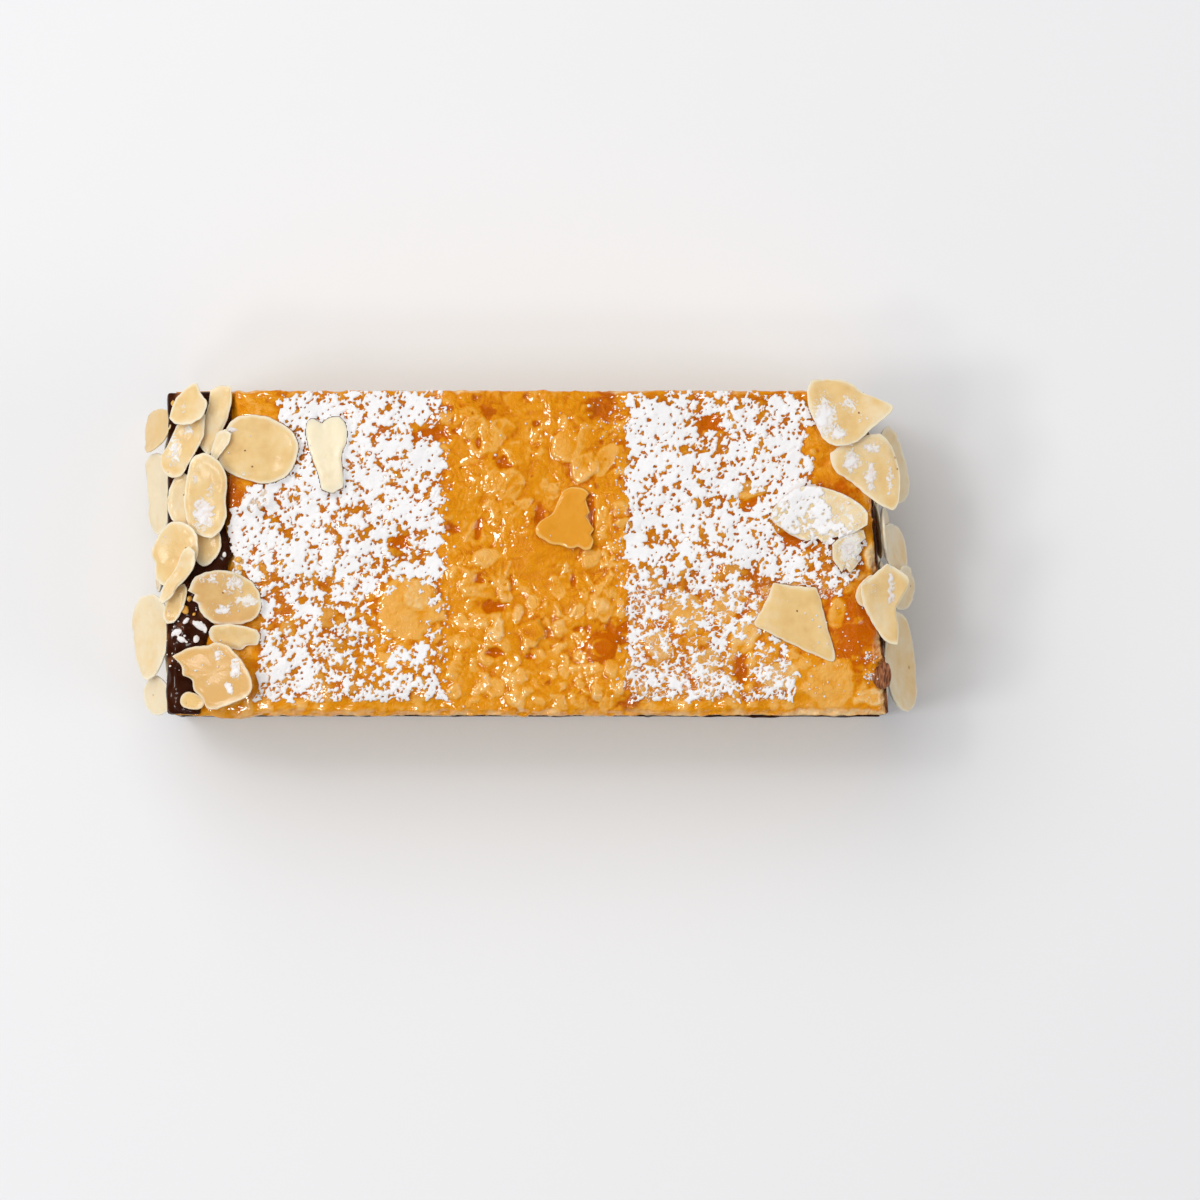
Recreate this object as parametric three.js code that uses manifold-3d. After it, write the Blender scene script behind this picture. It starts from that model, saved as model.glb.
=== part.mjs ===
// A praline slice: a bar of light cake with a chocolate layer through it, an almond praline crust on
// top, chocolate over both short ends, and flaked almonds stuck to the ends and strewn on the top.
// Millimetres, +Z up. The origin is the middle of the underside, and +X runs along the bar.
import * as THREE from 'three';
import { mergeVertices } from 'three/addons/utils/BufferGeometryUtils.js';
import Module from 'manifold-3d';

// ---- Driving dimensions -------------------------------------------------------------------------

const LEFT_FACE = -60;           // outside of the chocolate on the left end
const RIGHT_FACE = 59.4;         // outside of the chocolate on the right end, at the middle
const WIDTH = 54;
const HEIGHT = 36;               // to the mean level of the crust
const BASE_THICK = 17;           // lower cake
const CHOCOLATE_THICK = 2.5;     // chocolate layer between the two cakes
const CRUST_THICK = 7;
const COAT_LEFT = 1.5;           // chocolate on the left end, which also runs over the top there
const COAT_RIGHT = 0.8;
const SHOULDER = 1.2;            // how far the coated top of the left end lies below the crust
const END_SKEW = 0.068;          // the right end is cut this much out of square, mm per mm of width
const CAKE_SHRINK = 0.25;        // the cakes stand back from the cut face of the crust by this
const CHOCOLATE_PROUD = 0.5;     // and the chocolate layer bulges past the lower cake by this
const CLEARANCE = 0.3;           // between pieces that rest on an uneven neighbour
const COAT_FOOT = 0.6;           // the coats stop this far above the underside
const COAT_INSET = 0.1;          // and this far short of the cut faces
const COAT_LAP = 0.4;            // the left coat's wall reaches this far up into its top
const RIGHT_COAT_DROP = 1;       // the right coat stops this far below the crust's mean level
const RIGHT_COAT_FALL = 0.3;     // and falls by this for each of its columns outwards
const BASE_SHRINK = 0.25;        // the lower cake stands back from the upper one by this
const STEP_BACK = 0.5;           // from the line of the shoulder to where the crust steps down
const STEP_OUT = 0.3;            // and on to where it is at its full height

const FLAKE_THICK = 0.95;
const FLAKE_POINTS = 16;         // corners of a whole flake's outline
const RIM_STEPS = 2;             // corners of a broken flake's outline for each point of its rim
const HALF_WIDTH = WIDTH / 2;
const LEFT_CAKE = LEFT_FACE + COAT_LEFT;
const CAKE_TOP_LOW = BASE_THICK + CHOCOLATE_THICK;
const CRUST_LOW = HEIGHT - CRUST_THICK;
const SHOULDER_HIGH = HEIGHT - SHOULDER - COAT_LEFT;
const RIGHT_COAT_HIGH = HEIGHT - RIGHT_COAT_DROP;

const degrees = THREE.MathUtils.degToRad;
const lerp = THREE.MathUtils.lerp;

// ---- Materials ----------------------------------------------------------------------------------

function food(color, roughness) {
  return new THREE.MeshStandardMaterial({ color, roughness, metalness: 0 });
}

const MATERIALS = {
  cake: food(0xe8c98c, 0.9),
  chocolate: food(0x3a1c12, 0.35),
  crust: food(0xe5993c, 0.3),
  almond: food(0xecd09c, 0.55),
  glazedAlmond: food(0xe59b36, 0.2),
  almondSkin: food(0x8e4a22, 0.7),
};

// ---- Outlines of the block ----------------------------------------------------------------------

const rightEnd = (y) => RIGHT_FACE - COAT_RIGHT - END_SKEW * y;      // of the cake and the crust
const cutWaver = (x) => 0.16 * Math.sin(x * 0.31) + 0.1 * Math.sin(x * 0.83 + 1);
const bump = (x, middle, width) => Math.exp(-(((x - middle) / width) ** 2));

// Where the chocolate of the left end stops and the open crust begins.
function shoulderAt(y) {
  const towardsFront = THREE.MathUtils.smoothstep(-y, 6, 19);
  return -49.5 + 1.2 * bump(y, 0, 3.5) + 1.4 * bump(y, 23, 4) - 4.2 * towardsFront;
}

// The crust is lumpy, and falls away a little along its cut edges.
function crustTop(x, y) {
  const lumps = 0.28 * Math.sin(x * 0.41 + y * 0.23) + 0.22 * Math.sin(x * 0.19 - y * 0.47 + 2);
  const toCut = HALF_WIDTH - Math.abs(y);
  const toEnd = rightEnd(y) - x;
  const fall = 0.9 * Math.exp(-toCut / 1.1) + 1.1 * Math.exp(-toEnd / 1.4);
  return HEIGHT + lumps - fall;
}

// ---- Closed solids ------------------------------------------------------------------------------

function geometryOf(points, triangles) {
  const geometry = new THREE.BufferGeometry();
  const coordinates = points.flatMap((p) => [p.x, p.y, p.z]);
  geometry.setAttribute('position', new THREE.Float32BufferAttribute(coordinates, 3));
  geometry.setIndex(triangles);
  return geometry;
}

// A slab between a flat underside and a top that is a grid of columns (curves over y) and rows.
// columns: functions of y giving x. top(x, y, column) gives the height there.
function layerGeometry({ columns, rows, halfWidth, low, top }) {
  const points = [];
  const triangles = [];
  const across = columns.length;
  const at = (i, j) => j * across + i;
  for (let j = 0; j <= rows; j++) {
    const share = j / rows * 2 - 1;
    for (let i = 0; i < across; i++) {
      const flatY = share * halfWidth;
      const x = columns[i](flatY);
      const y = share * (halfWidth + cutWaver(x));
      points.push(new THREE.Vector3(x, y, top(x, y, i)));
    }
  }
  for (let j = 0; j < rows; j++) {
    for (let i = 0; i < across - 1; i++) {
      const [a, b, c, d] = [at(i, j), at(i + 1, j), at(i + 1, j + 1), at(i, j + 1)];
      triangles.push(a, b, c, a, c, d);
    }
  }
  const rim = [];
  for (let i = 0; i < across - 1; i++) rim.push(at(i, 0));
  for (let j = 0; j < rows; j++) rim.push(at(across - 1, j));
  for (let i = across - 1; i > 0; i--) rim.push(at(i, rows));
  for (let j = rows; j > 0; j--) rim.push(at(0, j));
  const foot = points.length;
  rim.forEach((k) => points.push(points[k].clone().setZ(low)));
  const middle = points.length;
  const centre = points.slice(foot).reduce((sum, p) => sum.add(p), new THREE.Vector3());
  points.push(centre.divideScalar(rim.length).setZ(low));
  rim.forEach((k, n) => {
    const next = (n + 1) % rim.length;
    triangles.push(k, foot + n, rim[next], rim[next], foot + n, foot + next);
    triangles.push(foot + next, foot + n, middle);
  });
  return geometryOf(points, triangles);
}

function evenColumns(from, to, count) {
  return Array.from({ length: count + 1 }, (_, i) => (y) => lerp(from(y), to(y), i / count));
}

const wasm = await Module();
wasm.setup();

function solidFrom(geometry) {
  const bare = geometry.clone();
  bare.deleteAttribute('normal');
  bare.deleteAttribute('uv');
  const merged = mergeVertices(bare, 1e-4);
  return new wasm.Manifold(new wasm.Mesh({
    numProp: 3,
    vertProperties: merged.attributes.position.array,
    triVerts: new Uint32Array(merged.index.array),
  }));
}

function geometryFrom(solid) {
  const mesh = solid.getMesh();
  const geometry = new THREE.BufferGeometry();
  geometry.setAttribute('position', new THREE.Float32BufferAttribute(mesh.vertProperties, 3));
  geometry.setIndex(new THREE.Uint32BufferAttribute(mesh.triVerts, 1));
  return geometry;
}

// ---- The block ----------------------------------------------------------------------------------

const slice = new THREE.Group();

function add(name, geometry, material) {
  const mesh = new THREE.Mesh(geometry, material);
  mesh.name = name;
  slice.add(mesh);
  return mesh;
}

const BAR_COLUMNS = evenColumns(() => LEFT_CAKE, rightEnd, 26);
const CAKE_HALF_WIDTH = HALF_WIDTH - CAKE_SHRINK;
const BASE_HALF_WIDTH = CAKE_HALF_WIDTH - BASE_SHRINK;

function addLayer(name, halfWidth, low, high, material) {
  add(name, layerGeometry({ columns: BAR_COLUMNS, rows: 4, halfWidth, low, top: () => high }), material);
}

addLayer('cake_base', BASE_HALF_WIDTH, 0, BASE_THICK, MATERIALS.cake);
addLayer('chocolate_layer', BASE_HALF_WIDTH + CHOCOLATE_PROUD, BASE_THICK, CAKE_TOP_LOW, MATERIALS.chocolate);
addLayer('cake_top', CAKE_HALF_WIDTH, CAKE_TOP_LOW, CRUST_LOW, MATERIALS.cake);

// The crust runs on under the chocolate at the left, lower there by the shoulder.
const hiddenColumns = evenColumns(() => LEFT_CAKE, (y) => shoulderAt(y) - STEP_BACK, 3);
const openColumns = evenColumns((y) => shoulderAt(y) + STEP_OUT, rightEnd, 30);
add('praline_crust', layerGeometry({
  columns: [...hiddenColumns, ...openColumns],
  rows: 14,
  halfWidth: HALF_WIDTH,
  low: CRUST_LOW,
  top: (x, y, column) => (column < hiddenColumns.length ? SHOULDER_HIGH : crustTop(x, y)),
}), MATERIALS.crust);

const COAT_HALF_WIDTH = HALF_WIDTH - COAT_INSET;
const bandTop = (x) => SHOULDER_HIGH + COAT_LEFT - 0.9 * Math.exp((LEFT_FACE - x) / 0.9);
const band = layerGeometry({
  columns: evenColumns(() => LEFT_FACE, (y) => shoulderAt(y) - STEP_BACK - CLEARANCE, 6),
  rows: 12,
  halfWidth: COAT_HALF_WIDTH,
  low: SHOULDER_HIGH,
  top: bandTop,
});
const endWall = layerGeometry({
  columns: evenColumns(() => LEFT_FACE, () => LEFT_CAKE, 1),
  rows: 12,
  halfWidth: COAT_HALF_WIDTH,
  low: COAT_FOOT,
  top: () => SHOULDER_HIGH + COAT_LAP,
});
add('chocolate_coat_left', geometryFrom(solidFrom(band).add(solidFrom(endWall))), MATERIALS.chocolate);

add('chocolate_coat_right', layerGeometry({
  columns: evenColumns((y) => rightEnd(y) + CLEARANCE, (y) => rightEnd(y) + COAT_RIGHT, 2),
  rows: 12,
  halfWidth: COAT_HALF_WIDTH,
  low: COAT_FOOT,
  top: (x, y, column) => RIGHT_COAT_HIGH - RIGHT_COAT_FALL * column,
}), MATERIALS.chocolate);

// ---- Almond flakes ------------------------------------------------------------------------------

// Keeps the part of a convex outline that lies within `reach` of the middle along a direction.
function snapOff(outline, direction, reach) {
  const normal = new THREE.Vector2(Math.cos(degrees(direction)), Math.sin(degrees(direction)));
  const kept = [];
  outline.forEach((a, i) => {
    const b = outline[(i + 1) % outline.length];
    const [outA, outB] = [a.dot(normal) - reach, b.dot(normal) - reach];
    if (outA <= 0) kept.push(a);
    if (outA * outB < 0) kept.push(a.clone().lerp(b, outA / (outA - outB)));
  });
  return kept;
}

// Spreads about `wanted` points round an outline by length, with one on each sharp corner.
function spread(outline, wanted) {
  const count = outline.length;
  const turnAt = (i) => {
    const before = outline[i].clone().sub(outline[(i + count - 1) % count]);
    const after = outline[(i + 1) % count].clone().sub(outline[i]);
    return Math.abs(before.angleTo(after));
  };
  const corners = outline.map((_, i) => i).filter((i) => turnAt(i) > 0.35);
  if (corners.length === 0) corners.push(0);
  const stretches = corners.map((start, n) => {
    const end = n + 1 < corners.length ? corners[n + 1] : corners[0] + count;
    const points = [];
    for (let i = start; i <= end; i++) points.push(outline[i % count]);
    const lengths = points.slice(1).map((p, i) => p.distanceTo(points[i]));
    return { points, lengths, length: lengths.reduce((a, b) => a + b, 0) };
  });
  const total = stretches.reduce((sum, s) => sum + s.length, 0);
  const result = [];
  stretches.forEach((s) => {
    const pieces = Math.max(1, Math.round(s.length / total * wanted));
    for (let k = 0; k < pieces; k++) {
      let left = s.length * k / pieces;
      let i = 0;
      while (left > s.lengths[i] && i < s.lengths.length - 1) left -= s.lengths[i++];
      result.push(s.points[i].clone().lerp(s.points[i + 1], left / s.lengths[i]));
    }
  });
  return result;
}

// A slice of almond lies along x: an egg that narrows towards +x by `taper`, less the edges that
// have snapped off, each [direction in degrees, distance of the break from the middle].
function eggOutline({ size: [length, width], taper = 0.25, breaks = [] }) {
  let outline = [];
  const steps = 120;
  for (let i = 0; i < steps; i++) {
    const angle = i / steps * Math.PI * 2;
    const x = Math.cos(angle);
    outline.push(new THREE.Vector2(x * length / 2, Math.sin(angle) * width / 2 * (1 - taper * x)));
  }
  for (const [direction, reach] of breaks) outline = snapOff(outline, direction, reach);
  return spread(outline, FLAKE_POINTS);
}

// A broken slice is drawn through a few points of its rim, `rim`, as it lies on the bar: a smooth
// curve but for the corners whose places in the list are in `sharp`.
function brokenOutline({ rim, sharp = [], at: [x, y], turn }) {
  const points = rim.map((p) => new THREE.Vector3(p[0] - x, p[1] - y, 0));
  points.forEach((p) => p.applyAxisAngle(new THREE.Vector3(0, 0, 1), degrees(-turn)));
  if (sharp.length === 0) {
    return new THREE.CatmullRomCurve3(points, true).getSpacedPoints(rim.length * RIM_STEPS).slice(1);
  }
  const outline = [];
  sharp.forEach((start, n) => {
    const end = n + 1 < sharp.length ? sharp[n + 1] : sharp[0] + rim.length;
    const stretch = [];
    for (let i = start; i <= end; i++) stretch.push(points[i % rim.length]);
    const steps = RIM_STEPS * (end - start);
    outline.push(...new THREE.CatmullRomCurve3(stretch).getSpacedPoints(steps).slice(0, steps));
  });
  return outline;
}

function flakeOutline(spec) {
  if (!spec.rim) return eggOutline(spec);
  const outline = brokenOutline(spec).map((p) => new THREE.Vector2(p.x, p.y));
  return THREE.ShapeUtils.isClockWise(outline) ? outline.reverse() : outline;
}

// The flake's middle surface is bent along x by `bend` mm and curled across by `curl` mm.
function flakeGeometry(spec) {
  const { bend = 0.5, curl = 0.25, thick = FLAKE_THICK } = spec;
  const outline = flakeOutline(spec);
  const count = outline.length;
  const middle = outline.reduce((sum, p) => sum.add(p), new THREE.Vector2()).divideScalar(count);
  const halfLength = Math.max(...outline.map((p) => Math.abs(p.x)));
  const halfBreadth = Math.max(...outline.map((p) => Math.abs(p.y)));
  const warp = (x, y) => bend * ((x / halfLength) ** 2 - 0.4) + curl * ((y / halfBreadth) ** 2 - 0.4);
  const rings = [{ share: 1, half: 0.3 * thick }, { share: 0.78, half: 0.5 * thick }];
  const points = [];
  const triangles = [];
  for (const side of [1, -1]) {
    const start = points.length;
    for (const { share, half } of rings) {
      for (const p of outline) {
        const [x, y] = [lerp(middle.x, p.x, share), lerp(middle.y, p.y, share)];
        points.push(new THREE.Vector3(x, y, warp(x, y) + side * half));
      }
    }
    const hub = points.length;
    points.push(new THREE.Vector3(middle.x, middle.y, warp(middle.x, middle.y) + side * thick / 2));
    const face = (a, b, c) => triangles.push(...(side > 0 ? [a, b, c] : [a, c, b]));
    for (let i = 0; i < count; i++) {
      const next = (i + 1) % count;
      const [outer, outerNext] = [start + i, start + next];
      const [inner, innerNext] = [start + count + i, start + count + next];
      face(outer, outerNext, innerNext);
      face(outer, innerNext, inner);
      face(inner, innerNext, hub);
    }
  }
  const under = 2 * count + 1;
  for (let i = 0; i < count; i++) {
    const next = (i + 1) % count;
    triangles.push(i, under + i, under + next, i, under + next, next);
  }
  return geometryOf(points, triangles);
}

// ---- Laying flakes down -------------------------------------------------------------------------

const CELL = 0.25;                       // grid of a bed's heights
const NOWHERE = -1000;                   // height where a bed has nothing to rest on
const STEEPEST = 20;                     // most that a flake leans as it settles, in degrees
const FINEST = 0.5;                      // least change of lean that is tried
const NEIGHBOURS = [[1, 0], [-1, 0], [0, 1], [0, -1], [1, 1], [-1, -1], [1, -1], [-1, 1]];

// A bed is a face of the block that flakes are laid on, seen along its own z axis. It keeps the
// height of what lies there, so that each flake rests on the ones before it.
class Bed {
  constructor(frame, halfX, halfY, ground) {
    this.frame = frame;
    this.inverse = frame.clone().invert();
    this.halfX = halfX;
    this.halfY = halfY;
    this.across = Math.ceil(2 * halfX / CELL);
    this.down = Math.ceil(2 * halfY / CELL);
    this.heights = new Float32Array(this.across * this.down);
    for (let j = 0; j < this.down; j++) {
      for (let i = 0; i < this.across; i++) {
        this.heights[j * this.across + i] = ground((i + 0.5) * CELL - halfX, (j + 0.5) * CELL - halfY);
      }
    }
  }

  heightAt(x, y) {
    const i = Math.floor((x + this.halfX) / CELL);
    const j = Math.floor((y + this.halfY) / CELL);
    if (i < 0 || j < 0 || i >= this.across || j >= this.down) return NOWHERE;
    return this.heights[j * this.across + i];
  }

  highestRound(x, y) {
    let highest = NOWHERE;
    for (const dx of [-CELL, 0, CELL]) {
      for (const dy of [-CELL, 0, CELL]) highest = Math.max(highest, this.heightAt(x + dx, y + dy));
    }
    return highest;
  }

  // Raises the bed wherever a mesh, placed in the slice's frame, lies over it.
  cover(mesh) {
    const place = this.inverse.clone().multiply(mesh.matrix);
    const position = mesh.geometry.getAttribute('position');
    const index = mesh.geometry.index;
    const corner = [0, 1, 2].map(() => new THREE.Vector3());
    const spot = new THREE.Vector3();
    for (let t = 0; t < index.count; t += 3) {
      corner.forEach((v, k) => v.fromBufferAttribute(position, index.getX(t + k)).applyMatrix4(place));
      const longest = Math.max(...corner.map((v, k) => v.distanceTo(corner[(k + 1) % 3])));
      const steps = Math.ceil(longest / (CELL * 0.7));
      for (let a = 0; a <= steps; a++) {
        for (let b = 0; b <= steps - a; b++) {
          const [p, q] = [a / steps, b / steps];
          spot.copy(corner[0]).multiplyScalar(1 - p - q);
          spot.addScaledVector(corner[1], p).addScaledVector(corner[2], q);
          const i = Math.floor((spot.x + this.halfX) / CELL);
          const j = Math.floor((spot.y + this.halfY) / CELL);
          if (i < 0 || j < 0 || i >= this.across || j >= this.down) continue;
          const k = j * this.across + i;
          this.heights[k] = Math.max(this.heights[k], spot.z);
        }
      }
    }
  }

  // How high the middle of a turned flake is when its spots first touch the bed.
  touchHeight(spots, x, y, rotation) {
    let height = NOWHERE;
    const p = new THREE.Vector3();
    for (const spot of spots) {
      p.copy(spot).applyQuaternion(rotation);
      height = Math.max(height, this.highestRound(x + p.x, y + p.y) - p.z);
    }
    return height;
  }

  // Turns a flake, finds the lean about the bed's x and y axes in which it settles lowest, leans it
  // on by spec.lean degrees, and lets it stop CLEARANCE above the first thing it meets.
  lay(name, spec, material) {
    const mesh = new THREE.Mesh(flakeGeometry(spec), material);
    mesh.name = name;
    const [x, y] = spec.at;
    const spots = spotsUnder(mesh.geometry);
    const heightAtLean = (lean) => this.touchHeight(spots, x, y, turnedAndLeant(spec.turn, lean));
    let lean = [0, 0];
    let lowest = heightAtLean(lean);
    for (let step = STEEPEST / 2; step > FINEST; step /= 2) {
      for (const [stepX, stepY] of NEIGHBOURS) {
        const next = [lean[0] + stepX * step, lean[1] + stepY * step];
        const height = Math.hypot(...next) > STEEPEST ? Infinity : heightAtLean(next);
        if (height < lowest) [lowest, lean] = [height, next];
      }
    }
    const [moreX, moreY] = spec.lean ?? [0, 0];
    lean = [lean[0] + moreX, lean[1] + moreY];
    const rest = new THREE.Vector3(x, y, heightAtLean(lean) + CLEARANCE);
    const place = new THREE.Matrix4().makeRotationFromQuaternion(turnedAndLeant(spec.turn, lean));
    place.setPosition(rest).premultiply(this.frame).decompose(mesh.position, mesh.quaternion, mesh.scale);
    mesh.updateMatrix();
    slice.add(mesh);
    return mesh;
  }
}

function turnedAndLeant(turn, [aboutX, aboutY]) {
  const turned = new THREE.Quaternion().setFromAxisAngle(new THREE.Vector3(0, 0, 1), degrees(turn));
  const leant = new THREE.Quaternion().setFromEuler(new THREE.Euler(degrees(aboutX), degrees(aboutY), 0));
  return leant.multiply(turned);
}

// Spots all over a flake's underside, close together.
function spotsUnder(geometry) {
  const position = geometry.getAttribute('position');
  const index = geometry.index;
  const spots = [];
  const corner = [0, 1, 2].map(() => new THREE.Vector3());
  for (let t = 0; t < index.count; t += 3) {
    corner.forEach((v, k) => v.fromBufferAttribute(position, index.getX(t + k)));
    const normal = corner[1].clone().sub(corner[0]).cross(corner[2].clone().sub(corner[0]));
    if (normal.z > 0) continue;
    const steps = 6;
    for (let a = 0; a <= steps; a++) {
      for (let b = 0; b <= steps - a; b++) {
        const [p, q] = [a / steps, b / steps];
        spots.push(corner[0].clone().multiplyScalar(1 - p - q)
          .addScaledVector(corner[1], p).addScaledVector(corner[2], q));
      }
    }
  }
  return spots;
}

function numbered(prefix, i) {
  return `${prefix}_${String(i + 1).padStart(2, '0')}`;
}

// Flakes on the chocolate of the ends, lower rows first. at: [place across the end, height]. A
// negative lean sets a flake's foot further out than its head.
const LEFT_END_FLAKES = [
  { at: [-21, 7], turn: 76, size: [12, 8] },
  { at: [-10.8, 7], turn: 8, size: [12.6, 8.6], breaks: [[90, 3.6]] },
  { at: [0.4, 7.2], turn: 100, size: [12.2, 8.4] },
  { at: [10.6, 7], turn: -16, size: [12.6, 8], breaks: [[180, 5.2]] },
  { at: [21, 7.2], turn: 66, size: [12.2, 8.4] },
  { at: [-15.6, 18], turn: -30, size: [12.6, 9] },
  { at: [-4.9, 18.4], turn: 80, size: [11.4, 8] },
  { at: [5.4, 17.6], turn: 14, size: [12, 8.6], breaks: [[-70, 3.5]] },
  { at: [16.6, 18.2], turn: 108, size: [11.6, 7.6] },
  { at: [-2.1, 28.8], turn: 86, size: [11, 8.2], lean: [-4, 0] },
  { at: [-23.9, 27.6], turn: 80, size: [10.4, 6.2], lean: [-14, 0] },
  { at: [-14, 27], turn: 4, size: [14.6, 10.8], taper: 0.25, lean: [-14, 6], bend: 0.9 },
  { at: [10.2, 28.4], turn: 2, size: [13.8, 10.2], lean: [-13, 0], breaks: [[-90, 3.6]] },
  { at: [20.9, 28.2], turn: 0, size: [7.8, 11.4], taper: 0.45, lean: [-13, 0], bend: 0.9 },
];

const RIGHT_END_FLAKES = [
  { at: [-20.6, 7], turn: 100, size: [12, 8.6] },
  { at: [-10.2, 7.2], turn: 60, size: [12.4, 8.6] },
  { at: [0.6, 7], turn: -8, size: [13, 8.4], breaks: [[90, 3.4]] },
  { at: [11, 7.2], turn: 84, size: [12.4, 8.2] },
  { at: [21, 7], turn: 112, size: [12, 8.6] },
  { at: [-15.8, 17.8], turn: 24, size: [12.6, 9], breaks: [[200, 5]] },
  { at: [-5, 17.8], turn: 74, size: [11.8, 8.6] },
  { at: [5.6, 17.6], turn: -30, size: [12.2, 8.6] },
  { at: [16.6, 17.8], turn: 58, size: [12.4, 8.4] },
  { at: [3.4, 29.4], turn: 84, size: [12, 9], lean: [3, 0] },
  { at: [14.8, 27.6], turn: 4, size: [13.2, 10.4], lean: [-20, 0], bend: 0.7 },
  { at: [1, 27.2], turn: 70, size: [11.4, 8.6], lean: [-10, 0] },
  { at: [-18.3, 26.8], turn: 3, size: [16.8, 11.6], taper: 0.1, lean: [-14, 0], bend: 0.8 },
  { at: [-5.7, 26], turn: 34, size: [8, 6.4], lean: [-12, 0] },
];

// Flakes on the top, the lowest first.
const TOP_FLAKES = [
  { at: [-57.1, 8.9], turn: 92, size: [9, 5.2], taper: 0.1 },
  { at: [-55.5, -24.9], turn: -8, size: [4.4, 2.8], taper: 0.1, bend: 0.2, thick: 0.7 },
  { at: [-58.4, -8.6], turn: 66, size: [7.2, 3], taper: 0.1, bend: 0.2, thick: 0.7 },
  { at: [-51.9, 22.2], turn: 74, size: [12.8, 4.6], taper: -0.05, breaks: [[-14, 6]] },
  { at: [-56.9, 18.1], turn: 67, size: [13, 5.6], taper: 0.15, breaks: [[152, 4.9]] },
  {
    at: [-56.1, 24.8], turn: 56, sharp: [0, 1],
    rim: [[-58, 26.8], [-56.1, 26.8], [-55, 28.3], [-53.6, 26.8], [-53.5, 24], [-55.6, 22.2],
      [-58.3, 21.2], [-59.2, 22.4], [-58.2, 24.9]],
  },
  { at: [-53.3, 1.3], turn: 262, size: [7, 4.6], taper: 0.15 },
  {
    at: [-44.5, 17.4], turn: -6, bend: 0.7,
    rim: [[-51.3, 15], [-49.6, 21.2], [-46.3, 23.1], [-41.5, 21.7], [-38.2, 18.2], [-38.4, 14],
      [-41.5, 11.9], [-47, 12.2]],
  },
  { at: [-50.9, 18.1], turn: 56, size: [6.2, 2.7], taper: 0, bend: 0.2 },
  { at: [-53.2, 9.3], turn: 92, size: [14.4, 7.1], taper: 0.12 },
  { at: [-58.9, -0.8], turn: 74, size: [12, 7.9], taper: 0.1 },
  { at: [-57.9, -4.4], turn: 56, size: [10.4, 3.4], taper: 0.1, bend: 0.7 },
  { at: [-49.9, -7.6], turn: -8, size: [12.2, 9.2], taper: 0.05, bend: 0.6 },
  { at: [-48.4, -14.2], turn: -4, size: [8.6, 3.9], taper: -0.1, bend: 0.3 },
  {
    at: [-52, -20.6], turn: -30, sharp: [0, 1, 2, 4, 5, 8],
    rim: [[-59, -18.2], [-56.3, -15.8], [-55.4, -16.4], [-52.3, -15.2], [-47.9, -15.8],
      [-45, -21.5], [-47, -24.4], [-51.5, -26.3], [-53.6, -26.1], [-56, -21.6]],
  },
  { at: [-32.9, 16.5], turn: 263, size: [12.2, 6.6], taper: 0.25, bend: 0.3 },
  { at: [46.5, 5.4], turn: -20, size: [11.2, 7.4], taper: 0, bend: 0.4 },
  { at: [54.8, 0.8], turn: -80, size: [8.4, 6.4], taper: 0.35, bend: 0.3 },
  { at: [57.7, -6.4], turn: 62, size: [5.6, 3.2], taper: 0.1, bend: 0.2 },
  {
    at: [57.2, 13.6], turn: -40, sharp: [3],
    rim: [[51.1, 15.9], [53.6, 18.2], [58.4, 20.5], [60.1, 20.1], [62, 16], [63, 11], [62.5, 7.4],
      [60.2, 7.5], [54.4, 11.7]],
  },
  {
    at: [53.8, 23.6], turn: -8, sharp: [0], bend: 0.7,
    rim: [[48.6, 29.3], [53.6, 28.5], [60.4, 26], [61.8, 24.5], [57.8, 20.8], [52, 17.5],
      [48.5, 20.4], [47.3, 25]],
  },
  {
    at: [45.6, -11.4], turn: -40, sharp: [0, 1, 3, 5, 6], bend: 0.3,
    rim: [[41.2, -5.2], [49.4, -6], [50.8, -11.6], [52.4, -17], [50.6, -18.6], [47.9, -17.5],
      [38.3, -12.6], [39.8, -8.2]],
  },
  {
    at: [60.4, -8.8], turn: 80, sharp: [1, 4, 5], bend: 0.9,
    rim: [[61.3, -1.9], [63.9, -3.7], [62.5, -10], [62.8, -14], [62, -15.8], [58.9, -14.7],
      [56.6, -9.2], [58.8, -5.4]],
  },
];

// A shard of almond in the glaze in the middle of the top.
const GLAZED_SHARD = {
  at: [7.4, 5.4], turn: 30, bend: 0.4, sharp: [0, 6, 9],
  rim: [[7.2, 10.6], [5.2, 7.6], [3.8, 6], [1.9, 4.1], [2.8, 1.9], [5.2, 1.1], [10.9, 0.4],
    [11.3, 3.4], [10.6, 7.2], [10.2, 10.6]],
};

const leftFrame = new THREE.Matrix4().makeBasis(
  new THREE.Vector3(0, -1, 0), new THREE.Vector3(0, 0, 1), new THREE.Vector3(-1, 0, 0));
leftFrame.setPosition(LEFT_FACE, 0, 0);
const skew = Math.atan(END_SKEW);
const rightFrame = new THREE.Matrix4().makeBasis(
  new THREE.Vector3(-Math.sin(skew), Math.cos(skew), 0),
  new THREE.Vector3(0, 0, 1),
  new THREE.Vector3(Math.cos(skew), Math.sin(skew), 0));
rightFrame.setPosition(RIGHT_FACE, 0, 0);

const endGround = (across, up) => (up > COAT_FOOT && up < RIGHT_COAT_HIGH ? 0 : NOWHERE);
const leftBed = new Bed(leftFrame, 32, 40, endGround);
const rightBed = new Bed(rightFrame, 32, 40, endGround);

function topGround(x, y) {
  if (Math.abs(y) > HALF_WIDTH || x < LEFT_FACE || x > rightEnd(y) + COAT_RIGHT) return NOWHERE;
  if (x < shoulderAt(y) - STEP_BACK) return bandTop(x);
  return x > rightEnd(y) ? RIGHT_COAT_HIGH : crustTop(x, y);
}
const topBed = new Bed(new THREE.Matrix4(), 70, 36, topGround);

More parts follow.
